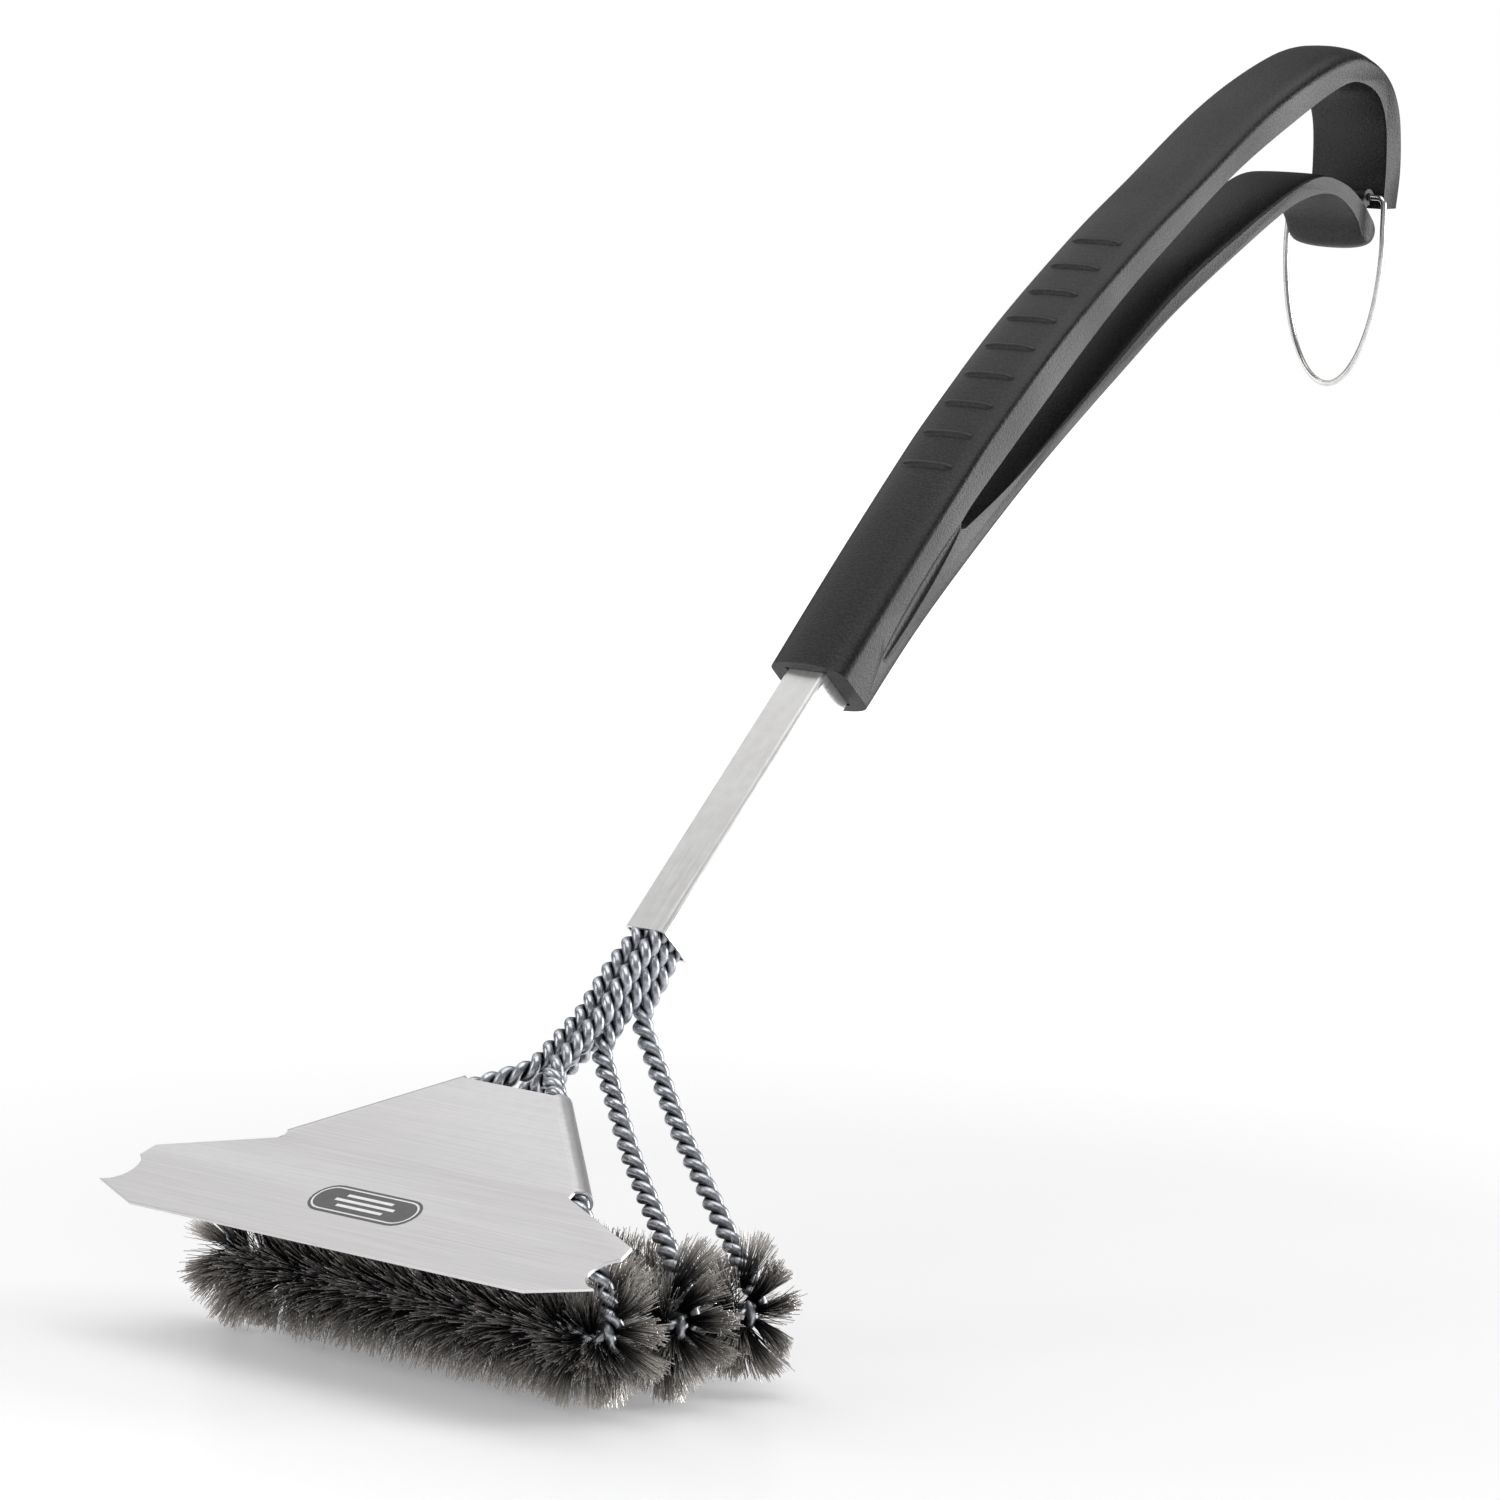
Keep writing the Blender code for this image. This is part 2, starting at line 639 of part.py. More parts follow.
def handle_point(along, across):
    """Point in the middle plane, from a place written for the outline's own length."""
    return HANDLE_END + AXIS * along * STRETCH + ACROSS * across


def across_body(outlines):
    """Body across X from matching side outlines: (x, its (along, across) points) pairs."""
    bm = bmesh.new()
    columns = []
    for x, outline in outlines:
        columns.append([bm.verts.new((x, point.y, point.x)) for point in outline])
    for first, second in zip(columns, columns[1:]):
        for index in range(len(first)):
            following = (index + 1) % len(first)
            bm.faces.new((first[index], first[following], second[following], second[index]))
    bm.faces.new(columns[0])
    bm.faces.new(columns[-1])
    return bm


def build_handle(frame, plastic):
    outline = handle_outline()
    slices = [(share * HANDLE_HALF_WIDTH, [point + shift * crown for point, shift in outline])
              for share, crown in crown_columns()]
    place = tube_place(TUBE_VISIBLE)
    handle = add_object("handle", across_body(slices), plastic, frame, place)

    barrel = barrel_outline()
    ends = [(-BARREL_HALF_LENGTH, barrel), (BARREL_HALF_LENGTH, barrel)]
    barrel_object = add_object("ring_barrel", across_body(ends), None, frame, place)
    add_boolean(handle, barrel_object, "UNION")

    socket_width = TUBE_WIDTH + 2.0 * GAP
    socket_height = TUBE_HEIGHT + 2.0 * GAP
    socket_end = TUBE_IN_HANDLE + PLUG_FLANGE + 2.0 * GAP
    socket = prism(rounded_rectangle(socket_width, socket_height, TUBE_CORNER),
                   -TUBE_WIDTH, socket_end)
    socket_object = add_object("handle_socket", socket, None, frame, place)
    add_boolean(handle, socket_object, "DIFFERENCE")
    pin_hole = cross_bar("handle_pin_hole", PIN_RADIUS + GAP, PIN_HALF_LENGTH + GAP, frame)
    add_boolean(handle, pin_hole, "DIFFERENCE")


# ---- Hang ring -----------------------------------------------------------------------


def ring_half_path(steps=14):
    """Right half of the ring about its axis: top, shoulder, then an oval down to the bow."""
    top = Vector((0.0, 0.0, 0.0))
    corner = Vector((RING_HALF_WIDTH - RING_SPLAY, 0.0, 0.0))
    shoulder = Vector((RING_HALF_WIDTH, 0.0, -RING_SHOULDER))
    path = fillet_path([top, corner, shoulder], [RING_CORNER])
    oval = RING_DROP - RING_SHOULDER
    for step in range(1, steps + 1):
        angle = step / steps * math.pi / 2.0
        path.append(Vector((RING_HALF_WIDTH * math.cos(angle), 0.0,
                            -RING_SHOULDER - oval * math.sin(angle))))
    return path


def build_ring(frame, steel):
    half = ring_half_path()
    other = [Vector((-point.x, point.y, point.z)) for point in reversed(half[1:-1])]
    place = Matrix.Translation(handle_point(*RING_AT))
    add_object("hang_ring", sweep(half + other, RING_WIRE, 8, closed=True), steel, frame, place)


def build():
    clear_scene()
    grip = handle_point(GRIP_ALONG, GRIP_ACROSS)
    frame = bpy.data.objects.new("head_datum", None)
    bpy.context.scene.collection.objects.link(frame)
    frame.location = -grip

    plate_steel = make_material("brushed stainless plate", (0.62, 0.61, 0.60), 0.32, 1.0)
    wire_steel = make_material("zinc-coated wire", (0.40, 0.41, 0.44), 0.35, 1.0)
    bristle_steel = make_material("steel bristle", (0.14, 0.13, 0.13), 0.45, 0.8)
    ring_steel = make_material("polished ring wire", (0.70, 0.70, 0.70), 0.18, 1.0)
    black_nylon = make_material("black nylon", (0.018, 0.018, 0.021), 0.45, 0.0)

    build_wire_loops(frame, wire_steel)
    build_bristles(frame, bristle_steel)
    build_plate(frame, plate_steel)
    build_tube(frame, plate_steel, black_nylon)
    build_handle(frame, black_nylon)
    build_ring(frame, ring_steel)


build()
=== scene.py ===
import math
import random

import bmesh
import bpy
from mathutils import Matrix, Vector


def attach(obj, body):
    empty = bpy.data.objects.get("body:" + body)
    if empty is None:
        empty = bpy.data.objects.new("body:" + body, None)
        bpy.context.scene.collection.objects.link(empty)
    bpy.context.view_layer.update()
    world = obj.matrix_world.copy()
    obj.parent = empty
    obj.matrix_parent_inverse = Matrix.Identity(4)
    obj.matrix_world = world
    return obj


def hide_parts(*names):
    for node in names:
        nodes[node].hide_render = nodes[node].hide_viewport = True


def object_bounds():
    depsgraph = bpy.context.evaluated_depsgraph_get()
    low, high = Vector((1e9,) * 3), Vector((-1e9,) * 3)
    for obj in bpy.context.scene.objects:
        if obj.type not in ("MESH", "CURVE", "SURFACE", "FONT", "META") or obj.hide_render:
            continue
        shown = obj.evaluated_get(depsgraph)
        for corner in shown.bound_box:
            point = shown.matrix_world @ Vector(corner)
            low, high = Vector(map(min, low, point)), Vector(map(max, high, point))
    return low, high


# Grill cleaning brush. The working layout is in millimetres from the middle of the scraper's
# front edge: X across, Y towards the handle, Z up. toWorld() brings a point into the frame.

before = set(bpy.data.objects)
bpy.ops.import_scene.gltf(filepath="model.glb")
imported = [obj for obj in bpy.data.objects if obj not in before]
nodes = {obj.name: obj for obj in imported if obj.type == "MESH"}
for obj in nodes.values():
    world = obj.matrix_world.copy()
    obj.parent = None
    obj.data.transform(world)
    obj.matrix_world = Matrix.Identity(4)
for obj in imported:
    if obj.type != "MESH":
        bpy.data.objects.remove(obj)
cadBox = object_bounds()
print("frame loaded:", len(nodes), "nodes")

mm = 0.001
tubeAngle = math.radians(48.4)
axis = Vector((0.0, math.cos(tubeAngle), math.sin(tubeAngle)))     # up the tube
across = Vector((0.0, -axis.z, axis.y))                            # out of the handle's back
mouth = Vector((0.0, 123.5, 71.6))                                 # lower end of the tube
handleEnd = mouth + axis * 92.5
grip = handleEnd + axis * 110.0 + across * 1.5                     # the world origin


def toWorld(point):
    return (Vector(point) - grip) * mm


# a place from the handle's lower end: up the tube's line, out of the back, across
def onHandle(along, out, x=0.0):
    return handleEnd + axis * along + across * out + Vector((x, 0.0, 0.0))


def newObject(name, data):
    thing = bpy.data.objects.new(name, data)
    bpy.context.scene.collection.objects.link(thing)
    return thing


def link(tree, source, target):
    tree.links.new(source, target)


# a socket takes a link, a colour or a plain value
def feed(tree, socket, value):
    if isinstance(value, bpy.types.NodeSocket):
        link(tree, value, socket)
    elif socket.type == "RGBA":
        socket.default_value = (*value, 1.0)
    else:
        socket.default_value = value


def addNode(tree, kind, sockets=None, **settings):
    node = tree.nodes.new(kind)
    for name, value in settings.items():
        setattr(node, name, value)
    for name, value in (sockets or {}).items():
        feed(tree, node.inputs[name], value)
    return node


def mathNode(tree, operation, *values):
    return addNode(tree, "ShaderNodeMath", dict(enumerate(values)), operation=operation).outputs[0]


def vectorMath(tree, operation, *vectors, scale=None):
    sockets = dict(enumerate(vectors))
    if scale is not None:
        sockets["Scale"] = scale
    node = addNode(tree, "ShaderNodeVectorMath", sockets, operation=operation)
    return node.outputs["Value"] if operation in ("DOT_PRODUCT", "LENGTH") else node.outputs[0]


def noiseNode(tree, vector, scale, detail=2.0, roughness=0.5):
    return addNode(tree, "ShaderNodeTexNoise", {"Vector": vector, "Scale": scale,
                                                "Detail": detail, "Roughness": roughness})


def newGroup(name, kind, inputs, outputs):
    tree = bpy.data.node_groups.new(name, kind)
    for socketName, socketKind, value in inputs:
        socket = tree.interface.new_socket(socketName, in_out="INPUT",
                                           socket_type="NodeSocket" + socketKind)
        if value is not None:
            socket.default_value = value
    for socketName, socketKind in outputs:
        tree.interface.new_socket(socketName, in_out="OUTPUT",
                                  socket_type="NodeSocket" + socketKind)
    return tree, addNode(tree, "NodeGroupInput").outputs, addNode(tree, "NodeGroupOutput").inputs


# long fine scratches along local X, with cloudy variation
def makeBrushedGroup():
    tree, start, end = newGroup(
        "brushedMetal", "ShaderNodeTree",
        [("Vector", "Vector", None), ("Scratch Scale", "Float", 900.0),
         ("Stretch", "Float", 0.02), ("Cloud Scale", "Float", 18.0)],
        [("Scratch", "Float"), ("Cloud", "Float")])
    along = addNode(tree, "ShaderNodeCombineXYZ", {0: start["Stretch"], 1: 1.0, 2: 1.0})
    stretched = vectorMath(tree, "MULTIPLY", start["Vector"], along.outputs[0])
    fine = noiseNode(tree, stretched, start["Scratch Scale"], 3.0, 0.7)
    cloud = noiseNode(tree, start["Vector"], start["Cloud Scale"])
    link(tree, fine.outputs["Fac"], end["Scratch"])
    link(tree, cloud.outputs["Fac"], end["Cloud"])
    return tree


# paler edges from the surface's own pointiness, broken up with noise: a painted highlight on the
# steel sheets' edges
def makePaleEdgeGroup():
    tree, start, end = newGroup(
        "paleEdges", "ShaderNodeTree",
        [("Vector", "Vector", None), ("Low", "Float", 0.52), ("High", "Float", 0.6),
         ("Breakup Scale", "Float", 250.0)],
        [("Pale Edge", "Float")])
    geometry = addNode(tree, "ShaderNodeNewGeometry")
    spread = addNode(tree, "ShaderNodeMapRange",
                     {"Value": geometry.outputs["Pointiness"], "From Min": start["Low"],
                      "From Max": start["High"]}, interpolation_type="SMOOTHSTEP")
    noise = noiseNode(tree, start["Vector"], start["Breakup Scale"], 3.0)
    broken = mathNode(tree, "MULTIPLY_ADD", noise.outputs["Fac"], 0.8, 0.4)
    link(tree, mathNode(tree, "MULTIPLY", spread.outputs[0], broken), end["Pale Edge"])
    return tree


# moulded grain: small rounded pits over a slow swell
def makeGrainGroup():
    tree, start, end = newGroup(
        "mouldedGrain", "ShaderNodeTree",
        [("Vector", "Vector", None), ("Grain Scale", "Float", 1800.0),
         ("Swell Scale", "Float", 30.0)],
        [("Grain", "Float"), ("Swell", "Float")])
    grain = noiseNode(tree, start["Vector"], start["Grain Scale"], 2.0, 0.6)
    swell = noiseNode(tree, start["Vector"], start["Swell Scale"])
    link(tree, grain.outputs["Fac"], end["Grain"])
    link(tree, swell.outputs["Fac"], end["Swell"])
    return tree


brushedGroup = makeBrushedGroup()
paleEdgeGroup = makePaleEdgeGroup()
grainGroup = makeGrainGroup()


def newMaterial(name):
    material = bpy.data.materials.new(name)
    material.use_nodes = True
    tree = material.node_tree
    return material, tree, tree.nodes["Principled BSDF"]


# Object coordinates, turned so that local X runs along the finish
def placed(tree, turn=(0.0, 0.0, 0.0)):
    coordinates = addNode(tree, "ShaderNodeTexCoord")
    return addNode(tree, "ShaderNodeMapping", {"Vector": coordinates.outputs["Object"],
                                               "Rotation": turn}).outputs[0]


def useGroup(tree, group, vector, **values):
    sockets = {name.replace("_", " "): value for name, value in values.items()}
    return addNode(tree, "ShaderNodeGroup", {"Vector": vector, **sockets},
                   node_tree=group).outputs


def mixColours(tree, factor, dark, light):
    return addNode(tree, "ShaderNodeMix", {0: factor, 6: dark, 7: light},
                   data_type="RGBA").outputs[2]


def ranged(tree, value, low, high, fromLow=0.0, fromHigh=1.0):
    return addNode(tree, "ShaderNodeMapRange",
                   {"Value": value, "From Min": fromLow, "From Max": fromHigh,
                    "To Min": low, "To Max": high}).outputs[0]


# noise keeps near its middle, so only that part is spread from low to high
def noiseRanged(tree, value, low, high):
    return ranged(tree, value, low, high, 0.3, 0.7)


def bump(tree, height, shader, strength, distance):
    node = addNode(tree, "ShaderNodeBump",
                   {"Strength": strength, "Distance": distance, "Height": height})
    link(tree, node.outputs[0], shader.inputs["Normal"])


def makeSteelSheet(name, finish):
    material, tree, shader = newMaterial(name)
    vector = placed(tree, finish["turn"])
    brushed = useGroup(tree, brushedGroup, vector, Scratch_Scale=finish["scratches"],
                       Stretch=finish["stretch"], Cloud_Scale=finish["clouds"])
    paleEdge = useGroup(tree, paleEdgeGroup, vector, Low=0.53, High=0.62, Breakup_Scale=300.0)
    tone = mixColours(tree, noiseRanged(tree, brushed["Scratch"], 0.0, 1.0), finish["dark"],
                      finish["light"])
    cloudy = mathNode(tree, "MULTIPLY", brushed["Cloud"], 0.35)
    tone = mixColours(tree, cloudy, tone, finish["warm"])
    # painted highlight: the edge colour brightens the sheet's edges
    tone = mixColours(tree, paleEdge["Pale Edge"], tone, finish["edge"])
    link(tree, tone, shader.inputs["Base Color"])
    rough = noiseRanged(tree, brushed["Scratch"], finish["rough"] - 0.06, finish["rough"] + 0.08)
    link(tree, rough, shader.inputs["Roughness"])
    shader.inputs["Metallic"].default_value = finish["metal"]
    bump(tree, brushed["Scratch"], shader, 0.12, 0.00004)
    return material


# drawn wire with a dull coating: mottled, and with painted shade darkening the grooves between its
# strands
def makeWire(name, finish):
    material, tree, shader = newMaterial(name)
    grain = useGroup(tree, grainGroup, placed(tree), Grain_Scale=finish["mottle"],
                     Swell_Scale=60.0)
    groove = addNode(tree, "ShaderNodeAttribute", attribute_name="grooveShade")
    tone = mixColours(tree, ranged(tree, grain["Grain"], 0.0, 1.0, 0.35, 0.65),
                      finish["dark"], finish["light"])
    # painted shade: the groove colour darkens where the strands face each other
    tone = mixColours(tree, groove.outputs["Fac"], tone, finish["groove"])
    link(tree, tone, shader.inputs["Base Color"])
    rough = noiseRanged(tree, grain["Swell"], finish["rough"] - 0.07, finish["rough"] + 0.1)
    link(tree, rough, shader.inputs["Roughness"])
    shader.inputs["Metallic"].default_value = finish["metal"]
    bump(tree, grain["Grain"], shader, finish["bump"], 0.00005)
    return material


# fine wire: painted shade makes it almost black by the core, grey outwards, and a painted
# highlight gives the bright cut tips
def makeFilament(name, finish):
    material, tree, shader = newMaterial(name)
    along = addNode(tree, "ShaderNodeAttribute", attribute_name="filamentAlong").outputs["Fac"]
    tone = addNode(tree, "ShaderNodeAttribute", attribute_name="filamentTone").outputs["Fac"]
    # painted light along each filament: painted shade at the root, painted highlight at the tip
    ramp = addNode(tree, "ShaderNodeValToRGB", {0: along})
    stops = ramp.color_ramp.elements
    stops.new(0.58)
    for stop, position, colour in zip(stops, (0.1, 0.58, 1.0), ("root", "middle", "tipHighlight")):
        stop.position = position
        stop.color = (*finish[colour], 1.0)
    mixed = mixColours(tree, tone, ramp.outputs[0], finish["pale"])
    toned = mixColours(tree, ranged(tree, along, 0.0, 0.5, 0.3, 1.0), ramp.outputs[0], mixed)
    link(tree, toned, shader.inputs["Base Color"])
    link(tree, ranged(tree, tone, 0.36, 0.22), shader.inputs["Roughness"])
    shader.inputs["Metallic"].default_value = finish["metal"]
    return material


# black nylon: fine spark-eroded grain, paler edges
def makeMoulding(name, finish):
    material, tree, shader = newMaterial(name)
    vector = placed(tree)
    grain = useGroup(tree, grainGroup, vector, Grain_Scale=finish["grain"], Swell_Scale=25.0)
    paleEdge = useGroup(tree, paleEdgeGroup, vector, Low=0.52, High=0.6, Breakup_Scale=400.0)
    tone = mixColours(tree, ranged(tree, grain["Grain"], 0.0, 1.0, 0.4, 0.68),
                      finish["dark"], finish["light"])
    tone = mixColours(tree, mathNode(tree, "MULTIPLY", paleEdge["Pale Edge"], 0.5), tone, finish["edge"])
    link(tree, tone, shader.inputs["Base Color"])
    rough = noiseRanged(tree, grain["Swell"], finish["rough"] - 0.05, finish["rough"] + 0.06)
    link(tree, rough, shader.inputs["Roughness"])
    shader.inputs["Specular IOR Level"].default_value = finish["gloss"]
    bump(tree, grain["Grain"], shader, finish["bump"], 0.00012)
    return material


finishes = {
    # plate and tube: edge is a painted highlight along their edges
    "plate": {"turn": (0.0, 0.0, 0.0), "scratches": 1500.0, "stretch": 0.015, "clouds": 22.0,
              "dark": (0.53, 0.52, 0.525), "light": (0.69, 0.68, 0.68),
              "warm": (0.64, 0.62, 0.61), "edge": (0.93, 0.93, 0.93), "rough": 0.36,
              "metal": 0.92},
    "tube": {"turn": (-tubeAngle, 0.0, math.radians(-90.0)), "scratches": 1600.0, "stretch": 0.015,
             "clouds": 20.0, "dark": (0.52, 0.51, 0.50), "light": (0.76, 0.75, 0.73),
             "warm": (0.70, 0.67, 0.63), "edge": (0.95, 0.95, 0.95), "rough": 0.32,
             "metal": 0.92},
    # groove: the colour of the painted shade between the strands
    "wire": {"dark": (0.36, 0.375, 0.41), "light": (0.58, 0.60, 0.635),
             "groove": (0.06, 0.062, 0.07), "rough": 0.31, "metal": 0.9, "mottle": 900.0,
             "bump": 0.15},
    # filament: root is painted shade, tipHighlight a painted highlight
    "filament": {"root": (0.005, 0.0045, 0.005), "middle": (0.034, 0.030, 0.031),
                 "tipHighlight": (0.74, 0.70, 0.66), "pale": (0.92, 0.88, 0.84), "metal": 0.85},
    "ring": {"dark": (0.60, 0.60, 0.59), "light": (0.70, 0.70, 0.68),
             "groove": (0.5, 0.5, 0.5), "rough": 0.3, "metal": 1.0, "mottle": 350.0,
             "bump": 0.02},
    "moulding": {"dark": (0.002, 0.002, 0.003), "light": (0.016, 0.016, 0.019),
                 "edge": (0.05, 0.05, 0.055), "rough": 0.4, "gloss": 0.34, "grain": 1300.0,
                 "bump": 0.9},
    "badge": {"dark": (0.055, 0.055, 0.06), "light": (0.09, 0.09, 0.095),
              "edge": (0.2, 0.2, 0.2), "rough": 0.5, "gloss": 0.3, "grain": 2500.0, "bump": 0.15},
}
plateSteel = makeSteelSheet("brushedPlate", finishes["plate"])
tubeSteel = makeSteelSheet("brushedTube", finishes["tube"])
coatedWire = makeWire("coatedWire", finishes["wire"])
ringWire = makeWire("polishedRingWire", finishes["ring"])
filamentSteel = makeFilament("bristleFilament", finishes["filament"])
blackNylon = makeMoulding("blackNylon", finishes["moulding"])
badgeEtch = makeMoulding("badgeEtch", finishes["badge"])
print("materials ready")


# a line of points with its inner corners rounded
def filletPath(points, radii, step=math.radians(7.0)):
    path = [points[0].copy()]
    for before, corner, after, radius in zip(points, points[1:], points[2:], radii):
        toBefore = (before - corner).normalized()
        toAfter = (after - corner).normalized()
        opening = toBefore.angle(toAfter)
        turn = math.pi - opening
        if turn < math.radians(1.0):
            path.append(corner.copy())
            continue
        centre = corner + (toBefore + toAfter).normalized() * radius / math.sin(opening / 2.0)
        start = corner + toBefore * (radius / math.tan(opening / 2.0)) - centre
        hinge = toBefore.cross(toAfter).normalized()
        count = max(2, math.ceil(turn / step))
        for index in range(count + 1):
            path.append(centre + Matrix.Rotation(-turn * index / count, 3, hinge) @ start)
    path.append(points[-1].copy())
    return path


rope = {"strand": 1.47, "offset": 1.48, "pitch": 9.9, "sides": 12, "step": 0.55}
loops = {
    "legX": 3.25, "insideLayer": 3.75, "outsideLayer": 5.7, "depth": 12.0, "spread": 12.0,
    "runs": (30.0, 36.0, 20.0), "rowHalf": 71.5, "rowY": 37.4, "rowPitch": 26.7,
    "rowDrop": 18.6, "corner": 4.5, "kneeX": 27.0, "kneeSag": 4.4, "mouthInset": 2.0,
    "pastSleeve": 4.0, "legBends": [20.0, 40.0, 12.0], "sleeveBends": [8.0, 8.0],
    "kneeBend": 90.0,
}
sheet = {
    "thickness": 1.0, "half": 93.0, "wingAngle": 25.4, "upperAngle": 31.0, "crease": 40.5,
    "edgeInset": 19.0, "clawRise": 7.0, "notchOffset": 0.4, "notchRise": 14.1,
    "notchRadius": 7.1, "cornerInset": 3.5, "cornerRise": 26.0, "wingRoot": 54.0,
    "sleeveTop": (16.8, 77.6), "sleeveFoot": (54.0, 43.0), "sleeveRadius": 3.87,
    "sleeveWall": 0.9, "sleeveStart": 96.0, "sleeveSweep": 318.0, "notchSweep": 152.0,
    "edge": 0.18, "sleeveEdge": 0.12,
}


def platePoint(x, distance):
    wing = math.radians(sheet["wingAngle"])
    upper = math.radians(sheet["upperAngle"])
    lowerPart = min(distance, sheet["crease"])
    rest = distance - lowerPart
    return Vector((x, lowerPart * math.cos(wing) + rest * math.cos(upper),
                   lowerPart * math.sin(wing) + rest * math.sin(upper)))


upperNormal, lowerNormal = (Vector((0.0, -math.sin(slope), math.cos(slope))) for slope in
                            (math.radians(sheet["upperAngle"]), math.radians(sheet["wingAngle"])))


def rowPoint(row, x):
    return Vector((x, loops["rowY"] + row * loops["rowPitch"], -loops["rowDrop"]))


# where the leg's line and the row's line meet, so that the bend ends at the row's half width
def cornerCrossing(row, lastBend):
    crossing = rowPoint(row, loops["rowHalf"])
    for _ in range(8):
        corner = (lastBend - crossing).angle(Vector((-1.0, 0.0, 0.0)))
        crossing.x = loops["rowHalf"] - loops["corner"] + loops["corner"] / math.tan(corner / 2.0)
    return crossing


# the line that the rolled sleeve and the front wire share, from the sheet's top to its wing
def sleeveEnds(sign=1.0):
    drop = upperNormal * sheet["sleeveRadius"]
    ends = [platePoint(*sheet[end]) - drop for end in ("sleeveTop", "sleeveFoot")]
    for end in ends:
        end.x *= sign
    return ends


def loopPath(row):
    layer = (1, 0, -1)[row]
    side = Vector((loops["legX"], 0.0, 0.0))
    inside = side + across * loops["insideLayer"] * layer
    outside = side + across * loops["outsideLayer"] * layer
    legs = [mouth + axis * loops["depth"] + inside, mouth + axis * loops["mouthInset"] + inside,
            mouth - axis * loops["spread"] + outside, mouth - axis * loops["runs"][row] + outside]
    if row == 0:
        top, foot = sleeveEnds()
        along = (foot - top).normalized()
        meeting = top - along * (top.x - loops["legX"]) / along.x
        after = foot + along * loops["pastSleeve"]
        points = legs + [meeting, after, cornerCrossing(0, after)]
        bends = loops["sleeveBends"]
    else:
        end = legs[-1]
        corner = cornerCrossing(row, end)
        share = (loops["kneeX"] - end.x) / (corner.x - end.x)
        knee = end.lerp(corner, share) - Vector((0.0, 0.0, loops["kneeSag"]))
        points = legs + [knee, cornerCrossing(row, knee)]
        bends = [loops["kneeBend"]]
    radii = loops["legBends"] + bends + [loops["corner"]]
    half = filletPath(points + [rowPoint(row, 0.0)], radii)[:-1]
    return half + [Vector((-p.x, p.y, p.z)) for p in reversed(half)]


def inputId(tree, name):
    for item in tree.interface.items_tree:
        if item.item_type == "SOCKET" and item.in_out == "INPUT" and item.name == name:
            return item.identifier
    raise KeyError(name)


def finishPiece(piece, body, replaced=()):
    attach(piece, body)
    if replaced:
        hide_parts(*replaced)


def evaluatedMesh(thing):
    bpy.context.view_layer.update()
    return bpy.data.meshes.new_from_object(
        thing.evaluated_get(bpy.context.evaluated_depsgraph_get()))


# runs a node tree on an object and keeps the result as one plain mesh
def runTree(name, start, tree, values, replaced=()):
    modifier = start.modifiers.new("maker", "NODES")
    modifier.node_group = tree
    for socket, value in values.items():
        modifier[inputId(tree, socket)] = value
    mesh = evaluatedMesh(start)
    mesh.name = name
    start.modifiers.remove(modifier)
    bpy.data.objects.remove(start)
    finishPiece(newObject(name, mesh), "brush", replaced)


def curveObject(name, lines):
    curve = bpy.data.curves.new(name, "CURVE")
    curve.dimensions = "3D"
    for line in lines:
        spline = curve.splines.new("POLY")
        spline.points.add(len(line) - 1)
        for point, place in zip(spline.points, line):
            point.co = (*toWorld(place), 1.0)
    return newObject(name, curve)


def storeNamed(tree, geometry, name, value, kind="FLOAT"):
    return addNode(tree, "GeometryNodeStoreNamedAttribute",
                   {"Name": name, "Geometry": geometry, "Value": value},
                   data_type=kind, domain="POINT").outputs[0]


def readNamed(tree, name):
    return addNode(tree, "GeometryNodeInputNamedAttribute", {"Name": name},
                   data_type="FLOAT_VECTOR").outputs[0]


# a round solid along a curve
def sweep(tree, curve, radius, sides, **more):
    profile = addNode(tree, "GeometryNodeCurvePrimitiveCircle",
                      {"Resolution": sides, "Radius": radius})
    return addNode(tree, "GeometryNodeCurveToMesh",
                   {"Curve": curve, "Profile Curve": profile.outputs[0], "Fill Caps": True,
                    **more}).outputs[0]


# every tree ends alike: smooth, one real mesh, its material
def closeTree(tree, geometry, start, end):
    smooth = addNode(tree, "GeometryNodeSetShadeSmooth", {"Geometry": geometry})
    realize = addNode(tree, "GeometryNodeRealizeInstances", {"Geometry": smooth.outputs[0]})
    coat = addNode(tree, "GeometryNodeSetMaterial", {"Geometry": realize.outputs[0],
                                                     "Material": start["Material"]})
    link(tree, coat.outputs[0], end[0])
    return tree


